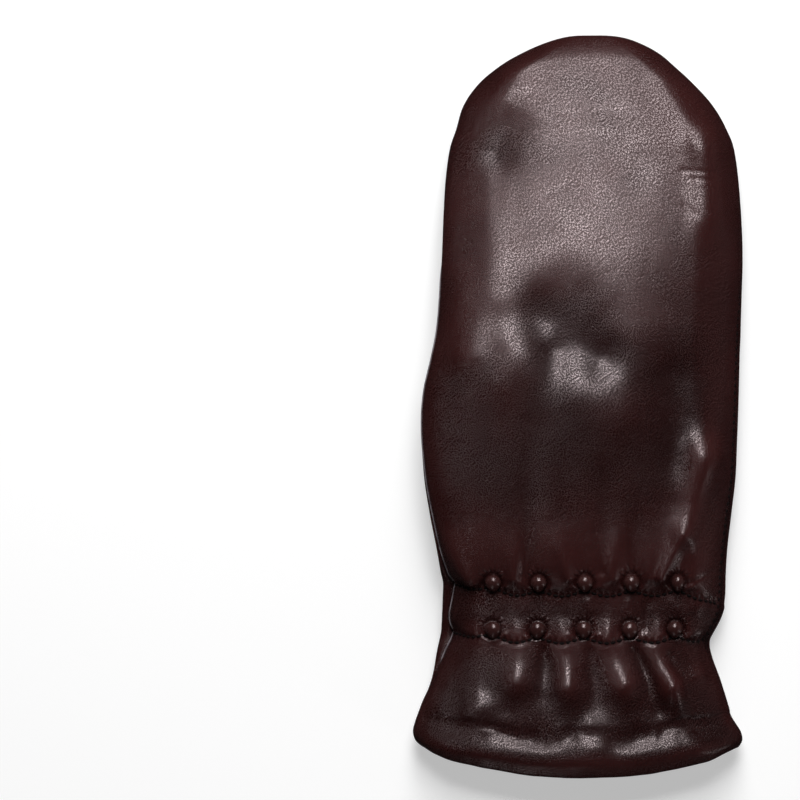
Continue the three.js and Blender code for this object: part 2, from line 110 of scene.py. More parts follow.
# Lengthwise stations from the hem of the cuff to the fingertips, as in the model.
# s: place along the length; bow: how much the middle lies further on
# left, right: the outline from above
# tuck, lap: the back panel's left edge and the side seam, inside the outline
# edge_l, edge_r: heights of the widest points
# crown, camber, tilt: the top's middle, its fall to both sides, its rise to the thumb side
# belly: height of the underside; roll: plan width of the shoulders
# finish: how far the finished leather lies above that plain form, on the back's middle
STATION_COLUMNS = ["s", "bow", "left", "right", "tuck", "lap", "edge_l", "edge_r", "crown", "camber",
                   "tilt", "belly", "roll", "finish"]
STATION_ROWS = [
    [-120.6, -9.2, -55.2, 57, 0, 0, 9, 9, 25, 6, 0, 1.6, 17, 1.8],
    [-118.6, -8.4, -57.4, 58, 0, 0, 9.2, 9.2, 29, 6.5, 0, -0.6, 18, 0.2],
    [-115.6, -7.4, -58.2, 57.4, 0, 0, 9.6, 9.6, 31.8, 7, 0, -1, 19, -3],
    [-112.4, -6.7, -57.6, 55.4, 0, 0, 10, 10, 32.8, 7, 0, -1, 19, -4.5],
    [-109.4, -5.9, -56.7, 53.7, 0, 0, 10, 10, 32.6, 6.8, 0, -1, 19, -4.55],
    [-106.4, -5.2, -55.3, 53, 0, 0, 10, 10, 32, 6, 0, -1, 18, -4],
    [-97.6, -3, -51.8, 50.2, 0.5, 0.2, 10, 10, 29.8, 5, 0, -1, 17, -2.7],
    [-88.6, -1, -49.7, 47, 2.5, 1.3, 10, 10, 27.8, 4, 0, -1, 16, -1.1],
    [-82.8, -0.6, -48.3, 46.8, 3.9, 2.6, 10, 10, 27, 4, 0, -1, 15, 0],
    [-74.6, 0, -47.8, 50.6, 2.6, 2, 11.5, 10.5, 29, 4, 0, 1, 15, -1.9],
    [-66.4, -0.6, -47.6, 51.8, 3.7, 2.2, 14, 11, 28.2, 4, 0, 3, 15, 0],
    [-60, 0, -48.3, 51.9, 2.4, 2.1, 17, 11.5, 30.6, 4, 0.5, 3, 15, 0.9],
    [-51.3, 0, -49.8, 52.5, 1.1, 2, 21.5, 12, 33.2, 4.5, 1, 1, 16, 0.4],
    [-38.7, 0, -52.2, 53.9, 0.7, 1.8, 23, 12.5, 35.8, 5, 1.6, -1, 17, -1],
    [-26, 0, -54.3, 55.3, 0.5, 1.6, 24, 12.5, 37.4, 5.5, 2, -1, 17, -1.7],
    [-9.1, 0, -55.3, 56, 0, 1.6, 24, 13, 38.4, 6, 2.2, -1, 18, -1.9],
    [3.5, 0, -54.6, 56.4, 0, 1.5, 24, 13, 38.4, 6, 2.2, -1, 18, -1.7],
    [16.2, 0, -51.8, 56.7, 0, 1.3, 23.8, 13, 37.8, 6, 2, -1, 18, -1.2],
    [28.8, 0, -49.6, 57.1, 0, 1, 23.4, 13, 36.6, 5.5, 1.6, -1, 18, -0.7],
    [49.9, 0, -48.3, 57.8, 0, 0.3, 22.4, 12.5, 33.6, 5, 1, -1, 18, 0],
    [71, 0, -47.4, 57.1, 0, 0, 18, 12, 30.4, 4.5, 0.4, -1, 17, 0.2],
    [87.9, 0, -45.5, 55.2, 0, 0, 12.5, 11.5, 28, 4, 0, -1, 16, 0.2],
    [96.3, 0, -43, 52.2, 0, 0, 11, 11, 26.8, 3.8, 0, -1, 15, 0],
    [104.7, 0, -40.4, 47.3, 0, 0, 11, 11, 25.6, 3.5, 0, -1, 14, 0],
    [112.4, 0, -35, 40.4, 0, 0, 11, 11, 24.2, 3, 0, -0.8, 13, 0],
    [118.4, 0, -27.9, 34, 0, 0, 11, 11, 22.4, 2.5, 0, 0.4, 12, 0],
    [122.8, 0, -20.6, 28.8, 0, 0, 11, 11, 20, 2, 0, 2.4, 11, 0],
    [126.4, 0, -12.6, 22.2, 0, 0, 11, 11, 17.2, 1.2, 0, 5, 9, 0],
    [128.8, 0, -4.6, 15, 0, 0, 11, 11, 14.4, 0.5, 0, 7.8, 6, 0],
    [130, 0, 4, 4, 0, 0, 11, 11, 11.2, 0, 0, 10.8, 0, 0],
]
STATIONS = dict(zip(STATION_COLUMNS, np.array(STATION_ROWS).T))
LAST = len(STATION_ROWS) - 1
FINE_STATIONS = 3000  # steps for reading a table column by its place along the length

# Gathering rows: the station that the stitches follow, its place t in the table, the first pip's place, the
# stitches' rise at each pip, their fall at the little finger side and their climb at the thumb side
ROWS = [
    {"name": "upper", "s": -66.4, "t": 10, "pip_x": -30.4, "pip_y": -62.4,
     "rise": 0.8, "drop": 3.8, "climb": 2.6},
    {"name": "lower", "s": -82.8, "t": 8, "pip_x": -30.8, "pip_y": -79.4,
     "rise": 0.8, "drop": 0.6, "climb": 2.1},
]

# Gathers between the pips: from, full, hold, to, height, lean
GATHERS = [
    [-108, -90, -85.5, -82, 0.4, 0.28],
    [-82.8, -82, -81, -75, 0.5, 0],
    [-66.4, -62.5, -57, -38, 0.6, 0],
]

# Folds of the back panel, each through two places or more: x, y, width and height at each of them.
# A negative height is a valley.
FOLDS = [
    # heel of the hand, from the upper row
    [-37, -62.5, 2.4, 1.8, -48.5, -50, 4.6, 2.2],
    [-22.7, -61, 1.8, 0.9, -23.4, -49.9, 4, 0.2],
    [-11.8, -56, 4, 0.9, -14.2, -41.1, 7, 0.3],
    [-3.7, -60.8, 1.7, 1.1, -7.9, -46.4, 3.6, 0.3],
    [11.8, -61, 2, 1, 10.7, -49.9, 4, 0.2],
    [24.4, -61, 1.5, 0.7, 23.7, -51.7, 3, 0.2],
    [28.5, -60.6, 2.2, 2.5, 35.5, -46, 3.6, 2],
    [37, -46, 4.5, 1.7, 46, -20, 7.5, 2.6, 50, -3, 8, 1.5],
    [42, -17.5, 5, 0.5, 46, -16.5, 5, 0.5],
    [37, -29.5, 4.5, 0.15, 42, -28.5, 4.5, 0.15],
    [34, -42, 4.5, 0.5, 39, -41, 4.5, 0.5],
    [-19.5, -60.4, 2, -1, -16.3, -9.5, 6, -0.6],
    [7.6, -58.7, 2.2, -0.9, 9, -27.1, 6, -0.5],
    [18.1, -58, 2, -0.6, 19.5, -34.1, 5, -0.2],
    # puffed band
    [-37.1, -71.5, 5, 0.3, -37.1, -79.5, 5, 1.1],
    [-24, -73.5, 1.6, 0.1, -21.5, -82.5, 3.2, 0.7],
    [-7.2, -73.5, 1.6, 0.1, -5.4, -82.5, 3.2, 0.8],
    [3, -69.5, 1.5, 0.4, 4, -72.3, 1.6, 0.4],
    [10, -73, 1.6, 0.1, 10, -82.5, 3, 1.1],
    [17.4, -69.8, 1.6, 0.4, 17.7, -73.4, 2, 0.4],
    [28.3, -73, 1.6, 0.1, 27.9, -82.5, 2.8, 1],
    [32.9, -70, 2.2, 0.4, 37.1, -73.4, 3, 0.6],
    [43.4, -71.4, 3.6, 1, 42.7, -79.5, 3.6, 1.2],
    [38.8, -77, 1.5, 0.6, 38.5, -81.8, 1.6, 1],
    [23.6, -70, 1.8, -0.7, 23.6, -79, 1.8, -0.7],
    # flare of the cuff
    [-38, -95, 3, 0.1, -37, -107, 7, 0.7, -35, -114, 7, 0.3],
    [-27, -117, 4, -0.35, -15, -117, 4, -0.35],
    [-20.5, -84.6, 3.2, 0.3, -23, -98, 6, 1.2, -25, -108, 5, 0.1],
    [-4.5, -84.6, 2.8, 0.2, -4.5, -100, 5.6, 1.2, -4, -109, 4.5, 0.1],
    [10.5, -84.6, 3, 0.2, 16.5, -99, 5.8, 1.5, 19, -108, 4.5, 0.2],
    [24.4, -84, 3, 0.2, 33, -100, 5.6, 2.5, 38, -109, 5, 0.3],
    [38.1, -84.8, 2, 0.1, 43.5, -95, 3.2, 1.2, 46, -103, 3.5, 0.2],
    [4, -107, 3, 0.1, 4, -121, 6, 0.9],
    [25, -123, 4, 0.3, 42, -119.5, 4, 0.9],
    [-12.1, -86.8, 2.2, -1, -10, -100.9, 4.4, -0.5],
    [4, -86.8, 2, -0.8, 7.6, -104.4, 5, -0.5],
    [20.2, -86.8, 2, -1.4, 28.6, -106.1, 3.6, -1.2],
    [32.2, -88.6, 1.7, -0.9, 38.5, -100.9, 2.6, -0.7],
    [44.5, -86.8, 2, -0.6, 48.3, -100.9, 3, -0.5],
    # back of the hand
    [-11, 26, 10, -1.8, 7, 16.5, 8, -2.1],
    [-13, 34, 9, -0.9, 6, 29, 9, -0.8],
    [-4, 42, 8, -0.5, 0, 40, 8, -0.5],
    [-9, 17, 6, -1.2, -6, -1, 8, -0.4],
    [-41, 44, 7, 0.6, -41, 18, 7, 1.5],
    [0, 1, 8, 0.7, 12, -5, 9, 0.8],
    [-25, 106, 8, -0.3, -30, 88, 8, -1.9],
    [-16, 90, 9, -0.6, 8, 93, 9, -0.6],
    [4, 110, 9, -0.3, 18, 85, 10, -0.5],
    [48, 66, 7, 2.1, 47, 92, 7, 2.6],
    [-38, 92, 6, 0.3, -22, 114, 6, 0.9],
    [44, 90, 6, 0.6, 31, 111, 6, 0.9],
    [20, 100, 15, 0.7, 36, 98, 14, 0.7],
    [-30, 60, 7, 0.3, -29, 38, 7, 0.5],
    [-28, 7, 9, 1, -22, 17, 9, 0.9],
    [33, 8, 8, -1.2, 36, -18, 8, -1],
    # thin creases
    [37.4, -63.3, 0.7, -0.4, 46.9, -58.7, 0.7, -0.2],
    [36, 81.5, 0.9, -0.1, 56, 79, 0.9, -0.2],
    [39, 78.6, 0.9, -0.12, 56, 76.6, 0.9, -0.25],
    [43, 75, 0.9, -0.08, 55.5, 73, 0.9, -0.15],
    [36.7, 69.2, 1, -0.1, 44.8, 62.9, 1.2, -0.08],
    [-11.8, 72, 1, -0.1, -0.9, 77, 1, -0.08],
    [-23.4, 105.8, 1.2, -0.04, -5.4, 99.4, 1.2, -0.04],
    [31.5, -4.6, 1.2, -0.08, 44.1, -4.6, 1.2, -0.1],
    [9.3, -35.1, 1.4, -0.05, 40.6, -35.1, 1.4, -0.05],
    [-44.1, -113.2, 1.2, -0.15, -31.8, -113.2, 1.4, -0.1],
    [30.3, -114.2, 1.4, -0.1, 50.4, -110.7, 1.2, -0.25],
]

# The small folds beside a pip's lower end, from the pip's middle, as in the table above
PIP_WINGS = [[0.8, -3.6, 0.8, 0.5, 5, -1.6, 0.9, 0.5], [0.8, -3.6, 0.8, 0.5, 4, -2.6, 1, 0.4]]

# Sections of the thumb from its mouth to its tip, as in the model: top y, z, bottom y, z, half width, x
THUMB_SECTIONS = np.array([
    [-4, 18, -48, 18, 18, -27],
    [-4, 16.6, -48, 15, 18, -27],
    [-3.6, 15.7, -47, 9, 18.1, -27],
    [-2.4, 15.2, -42, 3.2, 18.3, -27],
    [0, 15, -32, -0.4, 18.4, -26.8],
    [6, 15, -16, -1, 18.2, -26.4],
    [16, 15, 4, -1, 17.8, -25.6],
    [27, 14.9, 22, -1, 17, -24.6],
    [38, 14.4, 38, -1, 15.8, -23.4],
    [46, 13.2, 48, -0.6, 13.4, -22.4],
    [51.5, 11.4, 54, 0.8, 10, -21.8],
    [55, 9.2, 56.4, 3.4, 5.8, -21.4],
    [56.8, 6.4, 56.8, 6.4, 0, -21.2],
])
MOUTH_TOP, _, MOUTH_BOTTOM, _, MOUTH_HALF, MOUTH_X = THUMB_SECTIONS[0]
MOUTH_Y = (MOUTH_TOP + MOUTH_BOTTOM) / 2
MOUTH_REACH = (MOUTH_TOP - MOUTH_BOTTOM) / 2
MOUTH_SIZE = 20  # rough half of the mouth's length
MOUTH_TURN, MOUTH_TURN_WIDTH = 1.3, 1.3  # the palm turns up into the mouth's seam
OFF_MOUTH = 9.0  # a reach that is well outside the mouth

# Mesh rows of the panels: a station and the spacing from there on
BACK_ROWS = [(-120.6, 0.6), (-91, 0.38), (-57, 0.8), (-20, 1.25), (64, 0.6), (88, 0.9), (120, 0.6),
             (127, 0.3)]
BACK_ROW_COUNT = 324
INNER_EVERY = 6  # the hidden inside has a mesh row for every sixth of the outside
BACK_SPANS = [34, 170, 34]  # mesh columns: right shoulder, top, left shoulder
PALM_ROWS = [(-120.6, 1.0), (-60, 1.1), (0, 1.4), (120, 0.6), (127, 0.3)]
PALM_ROW_COUNT = 216
PALM_SPANS = [26, 84, 26, 14]  # left flank, underside, right flank, right shoulder
FLANK_LENGTH = 18  # rough length of the flank's curve
THUMB_SIDES = 120
THUMB_ROWS = 130
RIM_STEPS = 5  # mesh rows round the rim of the hem, and the way from one to the next
RIM_STEP = 0.8
FACE, FLESH, RAW = 0, 1, 2  # material numbers of a leather piece: its face, flesh side and cut edge

STITCH_PITCH = 2.3
STITCH_LENGTH = 2.0
STITCH_RADIUS = 0.46
STITCH_LIFT = 0.12
ROW_START_Q = 2.93  # a row starts here on the left shoulder, and runs on past the side seam
ROW_RUN_ON = 0.06
SIDE_STITCH_PITCH = 2.6
SIDE_STITCH_LENGTH = 1.7
SIDE_STITCH_LIFT = -0.1
SIDE_LINE_T = (7.6, 18.6)
SIDE_LINE_INSIDE = 0.75
RIM_LIGHT_T, RIM_LIGHT_Q = (6.6, 19.0), 2.94  # the painted rim light, a pale line along the cut edge, lies here
RIM_LIGHT_RADIUS = 0.28
RIM_LIGHT_LIFT = 0.12
LINE_STEPS = 400

GRAIN_SLANT = math.radians(-50)  # the grain runs from upper left to lower right, seen from above
LEATHER_DARK = (0.0080, 0.0021, 0.0020)
LEATHER_MID = (0.0390, 0.0100, 0.0095)
PIP_MID = (0.046, 0.016, 0.015)

# Soft lights: angle from straight above, direction, distance, width, depth and radiance
LIGHTS = {
    "key_light": (41, 88.5, 1.3, 0.30, 1.28, 4.8),
    "key_sides": (41, 88.5, 1.32, 0.68, 1.30, 5.2),
    "near_light": (17.5, 88.5, 1.28, 0.40, 0.15, 13.0),
    "fill_light": (70, 0, 1.5, 1.6, 1.4, 0.12),
    "low_right": (80, -35, 1.6, 0.30, 1.4, 1.6),
    "low_left": (80, 155, 1.6, 0.30, 1.4, 0.35),
    "low_front": (80, -100, 1.6, 0.30, 1.4, 0.9),
}


def smooth(start, end, value):
    share = np.clip((value - start) / (end - start), 0, 1)
    return share * share * (3 - 2 * share)


def between(start, full, hold, end, value):
    """Rises softly from 0 at start to 1 at full, and falls again from hold to end."""
    return smooth(start, full, value) * (1 - smooth(hold, end, value))


def bump(distance, width):
    return np.exp(-(distance / width) ** 2)


def unit(vectors):
    return vectors / np.maximum(np.linalg.norm(vectors, axis=-1, keepdims=True), 1e-9)


def arc_lengths(points, axis=0):
    """Lengths along lines of points, from 0 at their first ones."""
    steps = np.linalg.norm(np.diff(points, axis=axis), axis=-1)
    return np.pad(np.cumsum(steps, axis), [(int(k == axis), 0) for k in range(steps.ndim)])


def catmull(values, t):
    """Values at places t of a table's column, or of its rows, on a smooth curve through them all."""
    last = len(values) - 1
    i = np.clip(np.floor(t).astype(int), 0, last - 1)
    f = t - i
    if values.ndim > 1:
        f = f[..., None]
    a, b, c, d = (values[np.clip(i + k, 0, last)] for k in (-1, 0, 1, 2))
    return b + 0.5 * f * (c - a + f * (2 * a - 5 * b + 4 * c - d + f * (3 * (b - c) + d - a)))


def at(column, t):
    return catmull(STATIONS[column], t)


EVEN_T = np.linspace(0, LAST, FINE_STATIONS)


class Noise:
    """Soft random swells in space, the same on each run."""

    def __init__(self, seed, side=48):
        self.side = side
        self.lattice = np.random.default_rng(seed).uniform(-1, 1, (side, side, side))

    def __call__(self, points, size):
        place = np.asarray(points) / size
        cell = np.floor(place).astype(int)
        f = place - cell
        f = f * f * (3 - 2 * f)
        total = 0
        for corner in np.ndindex(2, 2, 2):
            index = [(cell[..., k] + corner[k]) % self.side for k in range(3)]
            weight = 1
            for k in range(3):
                weight = weight * (f[..., k] if corner[k] else 1 - f[..., k])
            total = total + weight * self.lattice[index[0], index[1], index[2]]
        return total


swells = Noise(11)
ripples = Noise(23)


def underside(x, y, belly):
    beyond = np.maximum(0, y - DRAPE_TOE) + DRAPE_STEEPER * np.maximum(0, DRAPE_HEEL - y)
    away = np.hypot(x - DRAPE_X, beyond) - DRAPE_RADIUS
    return belly + (PALM_LIFT - belly) * (1 - smooth(0, DRAPE_FALL, away))


def stray(s, x):
    """How far the hem's swell and the gathering rows' stitches stray from their stations."""
    wave = np.cos(math.tau * (x - HEM_WAVE_X) / HEM_WAVE_PITCH)
    inside = between(-STRAY_FAR, -STRAY_NEAR, STRAY_NEAR, STRAY_FAR, x)
    shift = HEM_WAVE * wave * inside * bump(s - HEM_WAVE_LINE, STRAY_WIDTH)
    for row in ROWS:
        ripple = row["rise"] * np.cos(math.tau * (x - row["pip_x"]) / PIP_PITCH)
        ends = row["climb"] * smooth(*CLIMB_SIDE, x) - row["drop"] * smooth(*DROP_SIDE, x)
        shift = shift + bump(s - row["s"], STRAY_WIDTH) * (ripple * inside + ends)
    return shift


def fold_height(x, y, fold):
    """Height of a fold from one place to another: x, y, width and height at both of them."""
    x0, y0, width0, height0, x1, y1, width1, height1 = fold
    run = np.array([x1 - x0, y1 - y0])
    share = np.clip(((x - x0) * run[0] + (y - y0) * run[1]) / (run @ run), 0, 1)
    distance = np.hypot(x - x0 - share * run[0], y - y0 - share * run[1])
    width = width0 + (width1 - width0) * share
    return (height0 + (height1 - height0) * share) * bump(distance, width)


def plain(t, q):
    """Points of the mitten's plain outer form and their side coordinate, for places t and q of equal shape.

    q runs round the section: 0-1 right shoulder, 1-2 top from right to left, 2-3 left shoulder, 3-4 left
    flank, 4-5 underside from left to right, 5-6 right flank, 6-7 right shoulder again.
    """
    on_top = (q < 3) | (q >= 6)
    tuck = np.maximum(0, at("tuck", t))
    left = at("left", t) + np.where(on_top, tuck, 0)
    right = at("right", t)
    half = (right - left) / 2
    middle = (left + right) / 2
    roll = np.minimum(np.where(on_top, at("roll", t), FLANK), half * MOST_ROLL)
    part = np.floor(q)
    turn = (q - part) * math.pi / 2
    outward = np.where((part == 2) | (part == 5), np.sin(turn), np.cos(turn))
    edge = np.where((part == 2) | (part == 3), at("edge_l", t), at("edge_r", t))
    full = np.sqrt(np.maximum(0, 1 - outward ** 2))
    x = middle + np.where(part == 2, -1, 1) * (half - roll + roll * outward)

    flat = (part == 1) | (part == 4)
    across = np.where(part == 1, -1, 1) * (2 * (q - part) - 1)
    x = np.where(flat, middle + across * (half - roll), x)
    edge = np.where(flat, 0, edge)
    full = np.where(flat, 1, full)

    # From the back panel's edge the palm first swells out to the outline, and then rolls under
    flank = part == 3
    above = np.arccos(1 - np.minimum(1, tuck / np.maximum(roll, 1)))
    swing = (q - part) * (math.pi / 2 + above) - above
    widest = at("edge_l", t) - SWELL_DROP * tuck
    rise = np.where(swing < 0, SWELL_DROP * tuck * np.sin(-swing) / np.maximum(np.sin(above), 1e-6), 0)
    x = np.where(flank, middle - (half - roll + roll * np.cos(swing)), x)
    edge = np.where(flank, widest + rise, edge)
    full = np.where(flank, np.maximum(0, np.sin(swing)), full)

    side = np.where(half > 1e-6, (x - middle) / np.maximum(half, 1e-6), 0)
    s = at("s", t)
    y = s + at("bow", t) * (1 - side * side) + stray(s, x)
    top = at("crown", t) - at("camber", t) * side * side - at("tilt", t) * side
    face = np.where(on_top, top, underside(x, y, at("belly", t)))
    return np.stack([x, y, edge + (face - edge) * full], -1), s


def directions(t, q):
    """Unit directions along the mitten, round its section and outwards."""
    step = 0.01
    along = plain(np.minimum(LAST, t + step), q)[0] - plain(np.maximum(0, t - step), q)[0]
    around = plain(t, q + step)[0] - plain(t, np.maximum(0, q - step))[0]
    return unit(along), unit(around), unit(np.cross(unit(along), unit(around)))


def lap_seam(t):
    """Where the side seam lies on the right shoulder."""
    inside = np.maximum(0, at("lap", t)) / np.maximum(1, at("roll", t))
    return np.arccos(1 - np.minimum(1, inside)) / (math.pi / 2)


def quarter(t, edge):
    """Rough length of a shoulder's curve, in millimetres."""
    return math.pi / 2 * np.sqrt((at("roll", t) ** 2 + (at("crown", t) - at(edge, t)) ** 2) / 2)


class Line:
    """A line of stitches on the back panel, with its arc length."""

    def __init__(self, t, q, pitch, stitch):
        self.t = t
        self.q = q
        self.arc = arc_lengths(plain(t, q)[0])
        self.pitch = pitch
        self.stitch = stitch

    def ends(self):
        """Both ends of each stitch on the finished leather, and its outward direction."""
        for middle in np.arange(self.pitch, self.arc[-1] - self.pitch / 2, self.pitch):
            arc = np.array([middle - self.stitch / 2, middle + self.stitch / 2])
            t, q = np.interp(arc, self.arc, self.t), np.interp(arc, self.arc, self.q)
            points, outward, _ = back_surface(t, q)
            yield points[0], points[1], unit(outward.mean(0))


def row_line(row):
    seam = lap_seam(np.array([float(row["t"])]))[0]
    q = np.linspace(ROW_START_Q, seam + ROW_RUN_ON, LINE_STEPS)
    return Line(np.full_like(q, row["t"]), q, STITCH_PITCH, STITCH_LENGTH)


def side_line():
    t = np.linspace(*SIDE_LINE_T, LINE_STEPS)
    q = lap_seam(t) + SIDE_LINE_INSIDE / quarter(t, "edge_r")
    return Line(t, q, SIDE_STITCH_PITCH, SIDE_STITCH_LENGTH)


ROW_LINES = {row["name"]: row_line(row) for row in ROWS}


def main_relief(s, x, y, q):
    """How far the leather stands proud of its plain form, but for its finest detail."""
    around = np.where((q < 3) | (q > 6), 1, 1 - smooth(3, 3.6, q) + smooth(5.4, 6, q))
    on_top = between(0.2, 0.9, 2.2, 2.9, q)
    faint = HEM_FAINT_SHARE * bump(x - HEM_FAINT_X, HEM_FAINT_WIDTH)
    rows = -HEM_DEPTH * bump(s - HEM_LINE, HEM_WIDTH) * (1 - faint)
    for row in ROWS:
        away = s - row["s"]
        rows = rows - ROW_DEPTH * bump(away, ROW_WIDTH) - ROW_DIP_DEPTH * bump(away, ROW_DIP_WIDTH)
    lift = np.interp(s, at("s", EVEN_T), at("finish", EVEN_T))
    for start, full, hold, end, height, lean in GATHERS:
        row = min(ROWS, key=lambda r: abs(r["s"] - hold))
        crest = x - row["pip_x"] + lean * (s - row["s"])
        strength = between(start, full, hold, end, s)
        lift = lift + height * strength * (0.5 - 0.5 * np.cos(math.tau * crest / PIP_PITCH))
    for fold in FOLDS:
        for k in range(0, len(fold) - 4, 4):
            lift = lift + fold_height(x, y, fold[k:k + 8])
    return rows * around + lift * on_top


def pucker_relief(q, s):
    """Puckers between the stitches of the gathering rows, and the dents under the stitches."""
    relief = 0
    for row in ROWS:
        line = ROW_LINES[row["name"]]
        arc = np.interp(-q, -line.q, line.arc)
        above = s - row["s"]
        away = np.abs(above)
        wave = np.cos(math.tau * arc / line.pitch)
        depth = PUCKER_HEIGHT * wave * bump(away - PUCKER_AWAY, PUCKER_WIDTH) + DENT_DEPTH
        relief = relief - depth * smooth(-0.4, 0.6, above) * bump(away, DENT_WIDTH)
    return relief


def pip_relief(x, y):
    """The moat and the small radiating puckers round each pip."""
    relief = 0
    for row in ROWS:
        for i in range(PIPS_PER_ROW):
            dx = x - row["pip_x"] - i * PIP_PITCH
            dy = y - row["pip_y"]
            away = np.hypot(dx, dy)
            angle = np.arctan2(dy, dx)
            upper = smooth(0.2, 0.8, np.sin(angle))
            moat = -MOAT_DEPTH * bump(away - MOAT_RADIUS, MOAT_WIDTH)
            turn = np.cos((angle - math.pi / 2) * PIP_TICKS)
            ticks = turn * bump(away - TICK_RADIUS, TICK_LENGTH) * upper
            wing = PIP_WINGS[i % 2]
            wings = fold_height(dx, dy, wing) + FAR_WING * fold_height(-dx, dy, wing)
            relief = relief + moat + TICK_HEIGHT * ticks + wings
    return relief


def fine_relief(points, s):
    """Soft unevenness of the leather, stronger in the cuff than on the hand."""
    cuff = 1 - smooth(-60, -30, s)
    broad = swells(points, 26.0) * 0.3 + swells(points, 11.0) * 0.04
    small = ripples(points * [1, 0.6, 1], 4.2) * (0.02 + 0.13 * cuff)
    hem = ripples(points * [1, 0.35, 1], 3.4) * 0.36 * bump(s + 110.0, 4.0)
    return broad * (0.5 + 0.35 * cuff) + small + hem


def creases(points, stretch, size):
    """Narrow random ridges, 1 on their crests and 0 between them."""
    return (1 - np.abs(ripples(points * stretch, size)) * 3).clip(0)


def seam_roll(t, left, right):
    """How a panel rolls in at these distances from its two seams. It doesn't along the lap."""
    plain_right = 1 - smooth(0.1, 0.9, at("lap", t))
    return -SEAM_DEPTH * (bump(left, SEAM_WIDTH) + plain_right * bump(right, SEAM_WIDTH))


def tip_share(t):
    """1 on the hand, and less close to the tip of the fingers, down to 0."""
    return 1 - smooth(LAST - TIP_STATIONS, LAST, t)


def on_table(z, lowest=0.0):
    """Heights pressed softly flat on the table."""
    above = z - lowest
    pressed = 0.5 * (above + np.sqrt(above ** 2 + FLOOR_SOFTNESS ** 2))
    return lowest + np.maximum(0, pressed - FLOOR_SETTLE)


def back_surface(t, q):
    """Points of the finished back panel, their outward directions and their relief."""
    points, s = plain(t, q)
    x, y = points[..., 0], points[..., 1]
    outward = directions(t, q)[2]
    near_tip = tip_share(t)
    coarse = main_relief(s, x, y, q)
    roll = seam_roll(t, (3 - q) * quarter(t, "edge_l"), (q - lap_seam(t)) * quarter(t, "edge_r"))
    fine = pucker_relief(q, s) + pip_relief(x, y) + roll + fine_relief(points, s)
    relief = (coarse + fine) * near_tip - SEAM_DEPTH * (1 - near_tip)
    return points + outward * relief[..., None], outward, relief


def spread(zones, end, count):
    """count + 1 places from the first zone to the end, each zone with its own spacing."""
    starts = np.array([zone[0] for zone in zones] + [end], float)
    spacing = np.array([zone[1] for zone in zones], float)
    cells = np.concatenate([[0], np.cumsum(np.diff(starts) / spacing)])
    return np.interp(np.linspace(0, cells[-1], count + 1), cells, starts)


def station_places(zones, count):
    """Places t in the station table for mesh rows with the zones' spacing."""
    steps = 6000
    t = np.linspace(0, LAST, steps)
    return np.interp(spread(zones, STATIONS["s"][-1], count), at("s", t), t)


def grid_places(t_rows, ends, spans):
    """Places t, q of a grid: in each row, each stretch between two ends of q is split evenly."""
    ends = np.stack(np.broadcast_arrays(*ends), 1).astype(float)
    columns = [ends[:, :1]]
    for i, count in enumerate(spans):
        share = np.arange(1, count + 1) / count
        columns.append(ends[:, i:i + 1] + (ends[:, i + 1:i + 2] - ends[:, i:i + 1]) * share)
    q = np.concatenate(columns, axis=1)
    return np.repeat(t_rows[:, None], q.shape[1], 1), q


def grid_ids(first, rows, columns):
    return first + np.arange(rows * columns).reshape(rows, columns)


def closed_round(grid):
    """A grid with its first column once more after its last one."""
    return np.concatenate([grid, grid[:, :1]], 1)


def grid_faces(ids):
    """Faces of a grid of vertex numbers. Where a side of one is a single point, it is a triangle."""
    a, b, c, d = ids[:-1, :-1], ids[1:, :-1], ids[1:, 1:], ids[:-1, 1:]
    quads = np.stack([a, b, c, d], -1).reshape(-1, 4)
    first = quads[:, 0] == quads[:, 3]
    last = quads[:, 1] == quads[:, 2]
    faces = quads[~(first | last)].tolist()
    faces += quads[first][:, [0, 1, 2]].tolist()
    faces += quads[last][:, [0, 1, 3]].tolist()
    return faces


def turned_over(faces):
    return [face[::-1] for face in faces]


def tube(middles, side, outward, radius, sides):
    """Rings of points round the middles, in the plane of two directions, each ring with its own radius."""
    turn = (math.tau * np.arange(sides) / sides)[:, None]
    ring = side[..., None, :] * np.cos(turn) + outward[..., None, :] * np.sin(turn)
    return middles[:, None] + ring * radius[..., None]


def tube_faces(ids):
    """Faces of a tube through rings of vertex numbers, with a cap on each end."""
    return turned_over(grid_faces(closed_round(ids))) + [ids[0].tolist(), ids[-1][::-1].tolist()]


def rim_rows(outer, inner, along):
    """Rows of points that round the rim from the outer edge to the inner one."""
    middle = (outer + inner) / 2
    up = outer - middle
    out = -unit(along) * np.linalg.norm(up, axis=-1, keepdims=True)
    turns = np.linspace(0, math.pi, RIM_STEPS + 2)[1:-1]
    return np.stack([middle + up * math.cos(turn) + out * math.sin(turn) for turn in turns])


def join_doubles(mesh):
    """Points that lie in one place become one, and faces that have no area then go."""
    work = bmesh.new()
    work.from_mesh(mesh)
    bmesh.ops.remove_doubles(work, verts=work.verts, dist=SAME_PLACE)
    work.to_mesh(mesh)
    work.free()


def add_object(name, data):
    thing = bpy.data.objects.new(name, data)
    bpy.context.scene.collection.objects.link(thing)
    return thing


def joined(parts, width):
    """Arrays of points or places as the rows of one table."""
    return np.concatenate([np.reshape(part, (-1, width)) for part in parts])


